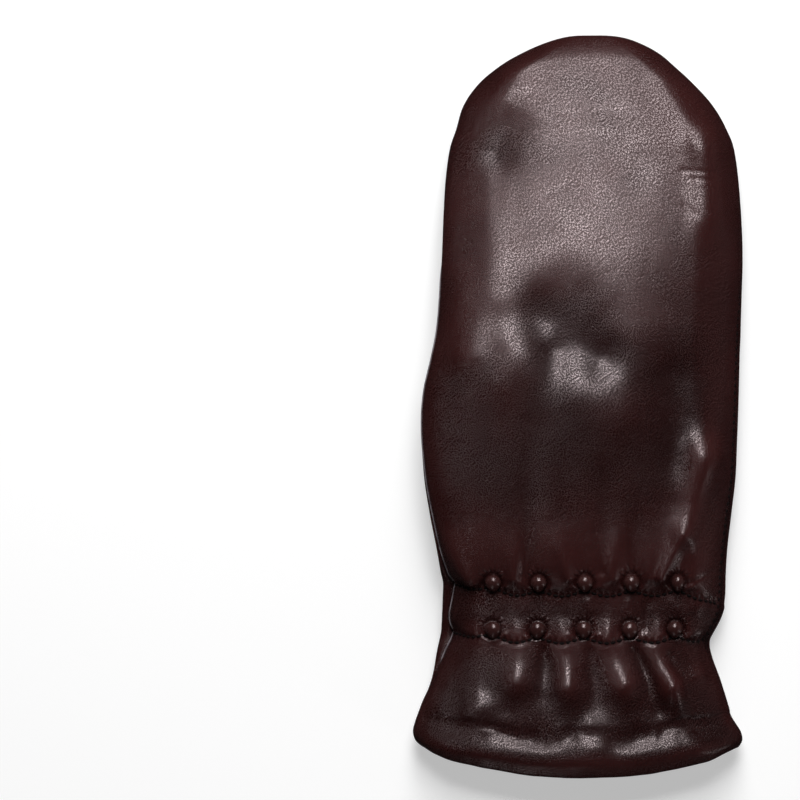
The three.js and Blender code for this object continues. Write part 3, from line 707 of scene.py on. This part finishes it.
def new_piece(name, parts, faces, materials, kinds=None, relief=None, places=None, sharp=55):
    """A mesh piece from parts, which are arrays of points in millimetres.

    kinds gives each face's material. relief is that of the first part, and places are where the points lie
    on the leather as it was cut, for the material to read.
    """
    points = joined(parts, 3) * MM
    used = np.zeros(len(points), bool)
    used[np.fromiter((i for face in faces for i in face), int)] = True
    number = np.cumsum(used) - 1
    faces = [[int(number[i]) for i in face] for face in faces]
    mesh = bpy.data.meshes.new(name)
    mesh.from_pydata(points[used].tolist(), [], faces)
    for material in materials:
        mesh.materials.append(material)
    if kinds is not None:
        mesh.polygons.foreach_set("material_index", np.asarray(kinds, np.int32))
    mesh.polygons.foreach_set("use_smooth", np.ones(len(mesh.polygons), bool))
    if relief is not None:
        height = np.zeros(len(points), np.float32)
        height[:relief.size] = relief.reshape(-1)
        mesh.attributes.new("relief", "FLOAT", "POINT").data.foreach_set("value", height[used])
    if places is not None:
        flat = np.zeros((used.sum(), 3), np.float32)
        flat[:, :2] = joined(places, 2)[used] * MM
        mesh.attributes.new("place", "FLOAT_VECTOR", "POINT").data.foreach_set("vector", flat.reshape(-1))
    join_doubles(mesh)
    mesh.validate()
    mesh.set_sharp_from_angle(angle=math.radians(sharp))
    return add_object(name, mesh)


def sheet_places(points, middle, toward=1):
    """Places on the flat leather for a grid: the length round each row and along its middle column."""
    around = arc_lengths(points, 1)
    along = np.repeat(arc_lengths(points[:, middle])[:, None], points.shape[1], 1)
    return np.stack([toward * (around - around[:, middle:middle + 1]), along], -1)


def rim_places(first):
    """Places for the rows round a rim, which run on from the first row."""
    return np.stack([first - [0, (k + 1) * RIM_STEP] for k in range(RIM_STEPS)])


def wall_at(s):
    """Thickness of the leather, with the turned hem on its inside."""
    return LEATHER_WALL + HEM_TURN * (1 - smooth(HEM_TURN_END - 0.5, HEM_TURN_END + 0.5, s))


def close_ends(outer, inner, t, q):
    """Lays both layers on the table, joins them at the tip, and gives the rows round the rim of the hem."""
    outer[..., 2] = on_table(outer[..., 2])
    inner[..., 2] = on_table(inner[..., 2], LEATHER_WALL)
    outer[-1] = outer[-2].mean(0)
    inner[-1] = outer[-1] - [0, LEATHER_WALL, 0]
    return rim_rows(outer[0], inner[0], directions(t[:1], q[:1])[0][0])


def make_back(leather, flesh, raw):
    t_rows = station_places(BACK_ROWS, BACK_ROW_COUNT)
    t, q = grid_places(t_rows, [lap_seam(t_rows), 1, 2, 3], BACK_SPANS)
    outer, outward, relief = back_surface(t, q)

    inner_rows = slice(None, None, INNER_EVERY)
    plain_points, s = plain(t[inner_rows], q[inner_rows])
    coarse = main_relief(s, plain_points[..., 0], plain_points[..., 1], q[inner_rows])
    depth = coarse * tip_share(t[inner_rows]) - wall_at(s)
    inner = plain_points + outward[inner_rows] * depth[..., None]
    rim = close_ends(outer, inner, t, q)

    rows, columns = outer.shape[:2]
    outer_ids = grid_ids(0, rows, columns)
    rim_ids = grid_ids(outer_ids.size, RIM_STEPS, columns)
    inner_ids = grid_ids(outer_ids.size + rim_ids.size, len(inner), columns)
    outer_ids[-1] = outer_ids[-1, 0]
    inner_ids[-1] = inner_ids[-1, 0]
    leather_faces = grid_faces(outer_ids)
    leather_faces += grid_faces(np.stack([inner_ids[0], *rim_ids[::-1], outer_ids[0]]))
    hem_rows = int(np.sum(at("s", t_rows[inner_rows]) < HEM_TURN_END))
    leather_faces += grid_faces(inner_ids[:hem_rows + 1][::-1])
    flesh_faces = grid_faces(inner_ids[hem_rows:][::-1])

    def side_edge(column):
        """The faces of a side edge, where one inner row faces several outer ones."""
        fine = outer_ids[:, column]
        wide = inner_ids[:, column]
        strip = [[fine[0], wide[0], *rim_ids[::-1, column]]]
        for k in range(len(wide) - 1):
            first = k * INNER_EVERY
            middle = first + INNER_EVERY // 2
            for i in range(first, first + INNER_EVERY):
                strip.append([fine[i], fine[i + 1], wide[k if i < middle else k + 1]])
            strip.append([fine[middle], wide[k + 1], wide[k]])
        return strip

    edge_faces = turned_over(side_edge(0)) + side_edge(columns - 1)
    faces = leather_faces + edge_faces + flesh_faces
    kinds = [FACE] * len(leather_faces) + [RAW] * len(edge_faces) + [FLESH] * len(flesh_faces)
    places = sheet_places(plain(t, q)[0], columns // 2, toward=-1)
    piece = new_piece("back_leather", [outer, rim, inner], faces, [leather, flesh, raw], kinds, relief,
                      [places, rim_places(places[0]), places[inner_rows]])
    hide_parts("back_panel")
    return piece


def palm_surface(t, q):
    """The palm's plain points, outward directions, relief, stations and the coarse share of the relief."""
    points, s = plain(t, q)
    near_tip = tip_share(t)
    roll = seam_roll(t, (q - 3) * FLANK_LENGTH, (6 + lap_seam(t) - q) * quarter(t, "edge_r"))
    below = between(3.2, 3.8, 5.4, 5.9, q)
    soft = swells(points, 21.0) * 0.5 + ripples(points, 8.0) * 0.16
    lines = 0.5 * creases(points, [0.5, 1, 1], 13.0) * below
    lap = LAP_STEP * smooth(6, 6.1, q) * smooth(0.1, 0.9, at("lap", t))
    coarse = main_relief(s, points[..., 0], points[..., 1], q)
    relief = (coarse + roll + soft * (0.4 + 0.6 * below) - lines * 0.6) * near_tip - lap
    relief = relief - SEAM_DEPTH * (1 - near_tip)
    return points, directions(t, q)[2], relief, s, coarse * near_tip - lap


def hole_reach(x, y):
    """1 on the outline of the thumb's mouth, less inside it and more outside."""
    across = np.abs(x - MOUTH_X) / MOUTH_HALF
    along = np.abs(y - MOUTH_Y) / MOUTH_REACH
    return (across ** THUMB_SQUARE + along ** THUMB_SQUARE) ** (1 / THUMB_SQUARE)


def next_to_outline(reach):
    """Which points of a grid are the nearer end of an edge across the outline."""
    chosen = np.zeros(reach.shape, bool)
    for axis in (0, 1):
        here, there = np.moveaxis(reach, axis, 0)[:-1], np.moveaxis(reach, axis, 0)[1:]
        crossing = (here - 1) * (there - 1) < 0
        first = crossing & (np.abs(here - 1) <= np.abs(there - 1))
        turned = np.moveaxis(chosen, axis, 0)
        turned[:-1] |= first
        turned[1:] |= crossing & ~first
    return chosen


def open_hole(ids, reach, snapped):
    """Faces of a grid without those inside the hole, whose outline runs through the snapped vertices."""
    a, b, c, d = ids[:-1, :-1], ids[1:, :-1], ids[1:, 1:], ids[:-1, 1:]
    quads = np.stack([a, b, c, d], -1).reshape(-1, 4)
    state = np.where(snapped, 0, np.sign(reach - 1)).reshape(-1)
    kinds = state[quads]
    near = (kinds == 0).any(1)
    faces = quads[~near & (kinds > 0).all(1)]
    kept = []
    for quad, kind in zip(quads[near], kinds[near]):
        turn = 1 if kind[1] == 0 and kind[3] == 0 and not (kind[0] == 0 and kind[2] == 0) else 0
        corners = np.roll(quad, -turn)
        for triangle in (corners[[0, 1, 2]], corners[[0, 2, 3]]):
            values = state[triangle]
            if (values >= 0).all() and (values > 0).any():
                kept.append(triangle.tolist())
    return faces, kept


def lone_edges(faces):
    """Directed edges that only one face has."""
    edges = set()
    for face in faces:
        for i, start in enumerate(face):
            end = face[(i + 1) % len(face)]
            if (end, start) in edges:
                edges.remove((end, start))
            else:
                edges.add((start, end))
    return edges


def make_palm(leather, flesh, raw):
    t_rows = station_places(PALM_ROWS, PALM_ROW_COUNT)
    under_lap = LAP_TUCK * smooth(0.3, 1.2, at("lap", t_rows)) / np.maximum(quarter(t_rows, "edge_r"), 1)
    t, q = grid_places(t_rows, [3, 4, 5, 6, 6 + lap_seam(t_rows) + under_lap], PALM_SPANS)
    points, outward, relief, s, coarse = palm_surface(t, q)
    outer = points + outward * relief[..., None]
    inner = points + outward * (coarse - wall_at(s))[..., None]

    # Grid points next to the thumb's mouth are moved onto its outline
    lower_side = (q > 3.9) & (q < 5.1)
    reach = np.where(lower_side, hole_reach(points[..., 0], points[..., 1]), OFF_MOUTH)
    snapped = next_to_outline(reach)
    centre = np.array([MOUTH_X, MOUTH_Y])
    for layer in (outer, inner):
        moved = centre + (points[..., :2] - centre) / reach[..., None]
        layer[..., :2] = np.where(snapped[..., None], moved, layer[..., :2])
    # The leather round the mouth turns up into the seam
    from_seam = np.maximum((reach - 1) * MOUTH_SIZE, 0)
    outer[..., 2] += np.where(lower_side, MOUTH_TURN * bump(from_seam, MOUTH_TURN_WIDTH), 0)
    rim = close_ends(outer, inner, t, q)

    rows, columns = outer.shape[:2]
    shift = rows * columns
    outer_ids = grid_ids(0, rows, columns)
    outer_ids[-1] = outer_ids[-1, 0]
    rim_ids = grid_ids(2 * shift, RIM_STEPS, columns)
    whole, cut = open_hole(outer_ids, reach, snapped)
    at_tip = (whole == outer_ids[-1, 0]).any(1)
    tips = [[a, b, d] for a, b, c, d in whole[at_tip].tolist()]
    outer_faces = whole[~at_tip].tolist() + tips + cut
    inner_faces = [[i + shift for i in face] for face in turned_over(outer_faces)]
    rim_faces = grid_faces(np.stack([outer_ids[0] + shift, *rim_ids[::-1], outer_ids[0]]))

    def side_edge(column):
        ids = outer_ids[:, column]
        strip = [[a, b, b + shift, a + shift] for a, b in zip(ids, ids[1:])]
        return [[ids[0], ids[0] + shift, *rim_ids[::-1, column]]] + strip

    edge_faces = turned_over(side_edge(0)) + side_edge(columns - 1)
    on_outline = set(outer_ids[snapped].tolist())
    round_hole = sorted(lone_edges(cut) & lone_edges(outer_faces))
    edge_faces += [[b, a, a + shift, b + shift] for a, b in round_hole if {a, b} <= on_outline]

    hem = set(np.flatnonzero(s < HEM_TURN_END).tolist())
    inner_kinds = [FACE if all(i - shift in hem for i in face) else FLESH for face in inner_faces]
    faces = outer_faces + rim_faces + edge_faces + inner_faces
    kinds = [FACE] * (len(outer_faces) + len(rim_faces)) + [RAW] * len(edge_faces) + inner_kinds
    places = sheet_places(plain(t, q)[0], PALM_SPANS[0] + PALM_SPANS[1] // 2)
    piece = new_piece("palm_leather", [outer, inner, rim], faces, [leather, flesh, raw], kinds, relief,
                      [places, places, rim_places(places[0])])
    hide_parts("palm_panel")
    return piece


def squarish(angle):
    """The cosine and sine of an angle, drawn out towards a square's corners."""
    return [np.sign(part) * np.abs(part) ** (2 / THUMB_SQUARE) for part in (np.cos(angle), np.sin(angle))]


def thumb_form(t, angle):
    """Points of the thumb's plain form at places t of its sections and at angles round them."""
    top_y, top_z, bottom_y, bottom_z, half, x = np.moveaxis(catmull(THUMB_SECTIONS, t), -1, 0)
    across, along = squarish(angle)
    y = (top_y + bottom_y) / 2 + along * (top_y - bottom_y) / 2
    z = (top_z + bottom_z) / 2 + along * (top_z - bottom_z) / 2
    return np.stack([x + half * across, y, z], -1)


def thumb_normals(points):
    """Outward directions of a closed grid of points."""
    around = np.roll(points, -1, 1) - np.roll(points, 1, 1)
    along = np.gradient(points, axis=0)
    return unit(np.cross(along, around))


def make_thumb(leather, flesh):
    last = len(THUMB_SECTIONS) - 1
    share = np.linspace(0, 1, THUMB_ROWS + 1)
    t_rows = last * (1 - (1 - share) ** 1.25)
    angles = math.tau * np.arange(THUMB_SIDES) / THUMB_SIDES
    t, angle = np.meshgrid(t_rows, angles, indexing="ij")
    form = thumb_form(t, angle)
    outward = thumb_normals(form)
    near_tip = 1 - smooth(last - 1.2, last, t)
    near_mouth = smooth(0, 1.6, t)
    side_seams = bump(np.sin(angle) * 13, 1.2) * smooth(1.5, 3.0, t)
    turned_in = bump(t, 0.8)
    soft = swells(form, 14.0) * 0.7 + ripples(form, 5.0) * 0.14
    folds = 0.7 * creases(form, [0.35, 1, 1], 9.0) * bump(t - 3.2, 2.2)
    relief = (soft - folds) * near_tip * near_mouth - 0.9 * side_seams * near_tip - SEAM_DEPTH * turned_in
    outer = form + outward * relief[..., None]
    inner = form - outward * THUMB_WALL
    outer[..., 2] = on_table(outer[..., 2])
    inner[..., 2] = on_table(inner[..., 2], THUMB_WALL)
    outer[-1] = outer[-1].mean(0)
    inner[-1] = outer[-1] - [0, THUMB_WALL, 0]

    outer_ids = grid_ids(0, len(t_rows), THUMB_SIDES)
    outer_ids[-1] = outer_ids[-1, 0]
    outer_ids = closed_round(outer_ids)
    inner_ids = outer_ids + t.size
    leather_faces = grid_faces(outer_ids) + grid_faces(np.stack([inner_ids[0], outer_ids[0]]))
    flesh_faces = grid_faces(inner_ids[::-1])
    kinds = [FACE] * len(leather_faces) + [FLESH] * len(flesh_faces)
    # The thumb's upper and lower halves are mirrored at its side seams
    lengths = sheet_places(closed_round(form), 0)
    whole = lengths[:, -1:, 0]
    fold = np.abs((lengths[..., 0] / whole * 2 + 0.5) % 2 - 1) * whole / 2
    places = np.stack([fold, lengths[..., 1]], -1)[:, :-1]
    piece = new_piece("thumb_leather", [outer, inner], leather_faces + flesh_faces, [leather, flesh], kinds,
                      relief, [places, places])
    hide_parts("thumb")
    return piece


def top_place(x, y):
    """Place t, q on the top of the mitten over a point of the table plane."""
    first, last, steps = 4, 16, 2400
    t = np.linspace(first, last, steps)
    left = at("left", t) + np.maximum(0, at("tuck", t))
    half = (at("right", t) - left) / 2
    roll = np.minimum(at("roll", t), half * MOST_ROLL)
    q = 1.5 - (x - (at("right", t) + left) / 2) / (half - roll) / 2
    points = plain(t, q)[0]
    best = np.argmin(np.hypot(points[:, 0] - x, points[:, 1] - y))
    return t[best:best + 1], q[best:best + 1]


def make_pip(name, x, y, leather, narrow):
    """A pip: a small ball of leather, pinched towards the row of stitches below it."""
    rings = 22
    sides = 48
    steepest = 2.2
    t, q = top_place(x, y)
    outward = directions(t, q)[2][0]
    plain_point, s = plain(t, q)
    base = plain_point[0] + outward * main_relief(s, x, y, q)[0]
    side = unit(np.cross([0, 1, 0], outward))
    ahead = np.cross(outward, side)
    lean = np.linspace(0, steepest, rings)[:, None]
    azimuth = math.tau * np.arange(sides) / sides
    down = np.clip(-np.sin(azimuth), 0, 1)
    radius = PIP_RADIUS * (0.97 + 0.17 * down ** 3)
    ticks = 0.5 + 0.5 * np.cos((azimuth - math.pi / 2) * PIP_TICKS)
    out = np.sin(lean) ** 0.92 * radius * (1 - 0.04 * ticks * (1 - down) * smooth(0.9, 1.5, lean))
    height = PIP_SEAT + PIP_RISE * np.cos(lean)
    across = out * np.cos(azimuth) * narrow * (1 - 0.24 * down ** 1.5)
    points = (base + side * across[..., None] + ahead * (out * np.sin(azimuth))[..., None]
              + outward * height[..., None])
    points = points.reshape(-1, 3)
    soft = swells(points, 3.1) * 0.12
    points = points + outward * soft[:, None]
    ids = grid_ids(0, rings, sides)
    ids[0] = ids[0, 0]
    faces = turned_over(grid_faces(closed_round(ids)[:, ::-1]))
    faces.append(ids[-1].tolist())
    piece = new_piece(name + "_leather", [points], faces, [leather], places=[points[:, :2]], sharp=80)
    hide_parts(name)
    return piece


def make_stitches(name, ends, thread, lift=STITCH_LIFT):
    """Short threads between pairs of points. ends holds both points and the outward direction of each."""
    rings = 7
    sides = 7
    tubes = []
    faces = []
    share = np.linspace(0, 1, rings)[:, None]
    bow = np.sin(math.pi * share)
    rise = (lift + 0.55) * bow - 0.5
    radius = STITCH_RADIUS * (0.7 + 0.3 * bow)
    for start, end, outward in ends:
        side = unit(np.cross(outward, unit(end - start)))
        middles = start + (end - start) * share + outward * rise
        faces += tube_faces(grid_ids(len(tubes) * rings * sides, rings, sides))
        tubes.append(tube(middles, side, outward, radius, sides))
    piece = new_piece(name, tubes, faces, [thread], sharp=80)
    return piece


def make_painted_rim(name, edge):
    """A painted reflection: a thin pale line along the back panel's cut edge, as a rim light seen from
    above.
    """
    sides = 8
    fade = 12
    t = np.linspace(*RIM_LIGHT_T, LINE_STEPS)
    points, outward, _ = back_surface(t, np.full_like(t, RIM_LIGHT_Q))
    points = points + outward * RIM_LIGHT_LIFT
    along = unit(np.gradient(points, axis=0))
    side = unit(np.cross(outward, along))
    steps = np.arange(LINE_STEPS)
    radius = RIM_LIGHT_RADIUS * smooth(0, fade, np.minimum(steps, steps[::-1]))[:, None]
    faces = tube_faces(grid_ids(0, LINE_STEPS, sides))
    piece = new_piece(name, [tube(points, side, outward, radius, sides)], faces, [edge], sharp=80)
    return piece


def thumb_seam_ends():
    """Stitches in the palm round the thumb's mouth."""
    gap = 2.2
    belly = -1.0
    steps = 1200
    across, along = squarish(np.linspace(0, math.tau, steps))
    x = MOUTH_X + across * (MOUTH_HALF + gap)
    y = MOUTH_Y + along * (MOUTH_REACH + gap)
    path = np.stack([x, y, underside(x, y, belly)], -1)
    arc = arc_lengths(path)
    for middle in np.arange(SIDE_STITCH_PITCH, arc[-1], SIDE_STITCH_PITCH):
        reach = np.array([-0.5, 0.5]) * SIDE_STITCH_LENGTH + middle
        start, end = (np.array([np.interp(place, arc, path[:, k]) for k in range(3)]) for place in reach)
        yield start, end, np.array([0.0, 0.0, -1.0])


class Graph:
    """Builds a material's nodes."""

    def __init__(self, name):
        self.material = bpy.data.materials.new(name)
        self.material.use_nodes = True
        self.tree = self.material.node_tree
        self.place = self.node("ShaderNodeTexCoord").outputs["Object"]

    def node(self, kind, inputs=(), **settings):
        node = self.tree.nodes.new(kind)
        for key, value in settings.items():
            setattr(node, key, value)
        self.put(node, inputs)
        return node

    def put(self, node, inputs):
        """Links sockets to a node's inputs, and sets the other values."""
        for name, value in dict(inputs).items():
            if isinstance(value, bpy.types.NodeSocket):
                self.tree.links.new(value, node.inputs[name])
            else:
                node.inputs[name].default_value = value

    def finished(self, inputs):
        """The material, with these inputs of its shader."""
        self.put(self.tree.nodes["Principled BSDF"], inputs)
        return self.material

    def noise(self, place, scale, detail=2.0, roughness=0.5, output="Fac", **settings):
        inputs = {"Vector": place, "Scale": scale, "Detail": detail, "Roughness": roughness}
        return self.node("ShaderNodeTexNoise", inputs, **settings).outputs[output]

    def rough(self, height, strength, distance, **under):
        """A normal that follows a height's bumps, over those of a normal under them."""
        inputs = {"Height": height, "Strength": strength, "Distance": distance, **under}
        return self.node("ShaderNodeBump", inputs).outputs[0]

    def sum(self, first, second, operation="ADD"):
        return self.node("ShaderNodeMath", {0: first, 1: second}, operation=operation).outputs[0]

    def ramp(self, factor, stops):
        node = self.node("ShaderNodeValToRGB", {"Fac": factor})
        elements = node.color_ramp.elements
        while len(elements) < len(stops):
            elements.new(0.5)
        for element, (place, color) in zip(elements, stops):
            element.position = place
            element.color = (*color, 1)
        return node.outputs["Color"]

    def range(self, value, low, high, to_low, to_high, **settings):
        inputs = {"Value": value, "From Min": low, "From Max": high, "To Min": to_low, "To Max": to_high}
        return self.node("ShaderNodeMapRange", inputs, **settings).outputs["Result"]


def leather_material(name, mid=LEATHER_MID, grain=1.0, worn=(0.20, 0.27)):
    """Smooth leather: two browns, a fine slanting grain, and painted shade that darkens its hollows and the
    grain's grooves.
    """
    g = Graph(name)
    patches = g.noise(g.place, 38.0, 4.0, 0.55)
    relief = g.node("ShaderNodeAttribute", attribute_name="relief").outputs["Fac"]
    # Painted shade: the colour darkens where the relief sinks into folds and hollows, and lightens on
    # raised folds, partly as worn leather does.
    painted_hollow_shade = g.range(relief, -2.2, 0.8, 0.0, 0.62)
    # Grain, laid out on the leather as it was cut: plump slanting cells parted by narrow grooves
    sheet = g.node("ShaderNodeAttribute", attribute_name="place").outputs["Vector"]
    warp = g.noise(sheet, 150.0, 1.0, output="Color")
    bent = g.node("ShaderNodeMix", {0: 0.0010, "A": sheet, "B": warp}, data_type="VECTOR").outputs[1]
    stretch = {"Vector": bent, "Rotation": (0.0, 0.0, GRAIN_SLANT), "Scale": (2.2, 1.0, 1.0)}
    slant = g.node("ShaderNodeMapping", stretch, vector_type="TEXTURE").outputs[0]
    cells = g.noise(slant, 3300.0, 0.0, noise_dimensions="2D")
    plump = g.range(cells, 0.42, 0.58, 0.0, 1.0, interpolation_type="SMOOTHSTEP")
    tone = g.sum(g.range(patches, 0.3, 0.7, 0.0, 0.38), painted_hollow_shade)
    # The grain's plump cells are lighter and its grooves darker in colour; the grooves' dark is painted
    # shade.
    tone = g.sum(tone, g.range(plump, 0.0, 1.0, -0.3 * grain, 0.25 * grain))
    wrinkles = g.rough(g.noise(slant, 500.0, noise_dimensions="2D"), 0.02 * grain, 0.0006)
    gloss = g.range(g.noise(g.place, 90.0, 3.0), 0.3, 0.7, *worn)
    groove = g.range(plump, 0.0, 1.0, 0.07 * grain, 0.0)
    return g.finished({
        "Base Color": g.ramp(tone, [(0.0, LEATHER_DARK), (1.0, mid)]),
        "Normal": g.rough(plump, 1.0 * grain, 0.00003, Normal=wrinkles),
        "Roughness": g.sum(gloss, groove),
        "Specular IOR Level": g.range(plump, 0.0, 1.0, 0.65 - 0.5 * grain, 0.65),
        "Specular Tint": (1.0, 0.85, 0.86, 1.0),
    })


def flesh_material():
    """The suede-like flesh side of the leather, inside the mitten."""
    g = Graph("flesh_side")
    nap = g.noise(g.place, 900.0, 5.0, 0.7)
    tone = g.sum(nap, g.noise(g.place, 60.0, 3.0), "MULTIPLY")
    return g.finished({
        "Base Color": g.ramp(tone, [(0.1, (0.030, 0.013, 0.010)), (0.45, (0.085, 0.042, 0.032))]),
        "Normal": g.rough(nap, 0.6, 0.0004),
        "Roughness": 0.95,
        "Sheen Weight": 0.35,
        "Sheen Roughness": 0.6,
    })


def raw_edge():
    """The cut edge of the leather, a lighter brown than its face."""
    g = Graph("raw_edge")
    fibres = g.noise(g.place, 1500.0, 4.0)
    return g.finished({
        "Base Color": g.ramp(fibres, [(0.3, (0.045, 0.019, 0.014)), (0.7, (0.13, 0.062, 0.045))]),
        "Normal": g.rough(fibres, 0.5, 0.0002),
        "Roughness": 0.8,
    })


def painted_rim_material():
    """A painted reflection: the pale rim light along a cut edge."""
    g = Graph("painted_rim_light")
    stops = [(0.3, (0.10, 0.08, 0.09)), (0.7, (0.24, 0.21, 0.23))]
    return g.finished({"Base Color": g.ramp(g.noise(g.place, 250.0), stops), "Roughness": 0.7})


def thread_material():
    """Twisted sewing thread, nearly black."""
    g = Graph("thread")
    twist = g.node("ShaderNodeTexWave", {"Vector": g.place, "Scale": 900.0, "Distortion": 1.5},
                   bands_direction="DIAGONAL").outputs["Fac"]
    return g.finished({
        "Base Color": g.ramp(twist, [(0.0, (0.002, 0.001, 0.001)), (1.0, (0.007, 0.004, 0.004))]),
        "Normal": g.rough(twist, 0.4, 0.00008),
        "Roughness": 0.8,
        "Specular IOR Level": 0.1,
    })


def floor_material():
    g = Graph("pale_floor")
    haze = g.noise(g.place, 3.0)
    return g.finished({
        "Base Color": g.ramp(haze, [(0.0, (0.62, 0.62, 0.62)), (1.0, (0.64, 0.64, 0.64))]),
        "Roughness": 0.7,
        "Specular IOR Level": 0.2,
        "Emission Color": (1.0, 1.0, 1.0, 1.0),
        "Emission Strength": FLOOR_GLOW,
    })


def make_floor():
    half = 6.0
    below = 0.0002
    corners = [(-half, -half, 0), (half, -half, 0), (half, half, 0), (-half, half, 0)]
    mesh = bpy.data.meshes.new("floor")
    mesh.from_pydata(corners, [], [(0, 1, 2, 3)])
    mesh.materials.append(floor_material())
    floor = add_object("floor", mesh)
    floor.location.z = -below
    floor.visible_glossy = False
    floor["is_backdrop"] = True


def add_softbox(name, lean, azimuth, distance, width, depth, radiance):
    """A soft light, aimed at the mitten. lean is its angle from straight above, in degrees."""
    light = bpy.data.lights.new(name, "AREA")
    light.shape = "RECTANGLE"
    light.size = width
    light.size_y = depth
    light.energy = radiance * math.pi * width * depth
    lamp = add_object(name, light)
    tilt, turn = math.radians(lean), math.radians(azimuth)
    away = Vector((math.sin(tilt) * math.cos(turn), math.sin(tilt) * math.sin(turn), math.cos(tilt)))
    lamp.location = away * distance
    lamp.rotation_euler = away.to_track_quat("Z", "Y").to_euler()


def make_world():
    """Dim surroundings for the leather to reflect, and a pale backdrop behind it."""
    dim = ((0.9, 0.95, 1.0, 1.0), 0.01)
    pale = ((1.0, 1.0, 1.0, 1.0), 0.9)
    world = bpy.data.worlds.new("studio")
    world.use_nodes = True
    tree = world.node_tree
    tree.nodes.clear()
    mix = tree.nodes.new("ShaderNodeMixShader")
    for socket, (color, strength) in enumerate((dim, pale), 1):
        light = tree.nodes.new("ShaderNodeBackground")
        light.inputs["Color"].default_value = color
        light.inputs["Strength"].default_value = strength
        tree.links.new(light.outputs[0], mix.inputs[socket])
    path = tree.nodes.new("ShaderNodeLightPath")
    out = tree.nodes.new("ShaderNodeOutputWorld")
    tree.links.new(path.outputs["Is Camera Ray"], mix.inputs[0])
    tree.links.new(mix.outputs[0], out.inputs["Surface"])
    bpy.context.scene.world = world


def make_camera():
    """Straight above, where the photograph's own camera stood, with a long lens."""
    height = 3.5
    view_width = 0.2811
    mid_height = 0.014
    sensor = 36
    data = bpy.data.cameras.new("camera")
    data.sensor_width = sensor
    data.lens = sensor * (height - mid_height) / view_width
    data.clip_end = 50
    camera = add_object("camera", data)
    camera.location = (-0.0627, 0.00105, height)
    bpy.context.scene.camera = camera


def dress():
    back, palm, thumb = (leather_material(f"{name}_leather") for name in ("back", "palm", "thumb"))
    pip = leather_material("pip_leather", PIP_MID, grain=0.3, worn=(0.17, 0.21))
    flesh = flesh_material()
    raw = raw_edge()
    thread = thread_material()
    pieces = [make_back(back, flesh, raw), make_palm(palm, flesh, raw), make_thumb(thumb, flesh)]
    for row in ROWS:
        for i in range(PIPS_PER_ROW):
            narrow = PIP_NARROWER.get((row["name"], i), 1.0)
            name = f"pip_{row['name']}_{i + 1}"
            pieces.append(make_pip(name, row["pip_x"] + i * PIP_PITCH, row["pip_y"], pip, narrow))
        ends = ROW_LINES[row["name"]].ends()
        pieces.append(make_stitches(f"stitches_{row['name']}", ends, thread))
    ends = side_line().ends()
    pieces.append(make_stitches("stitches_side", ends, thread, SIDE_STITCH_LIFT))
    # A painted reflection: the pale rim light along the back panel's cut edge.
    pieces.append(make_painted_rim("painted_rim_left", painted_rim_material()))
    pieces.append(make_stitches("stitches_thumb", thumb_seam_ends(), thread))
    for piece in pieces:
        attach(piece, "root")


dress()
make_floor()
make_world()
for light_name, light_values in LIGHTS.items():
    add_softbox(light_name, *light_values)
make_camera()
bpy.context.scene.view_settings.view_transform = "Standard"

bounds = {"cad": cad_box, "visual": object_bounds()}
{name: [list(corner) for corner in box] for name, box in bounds.items()}
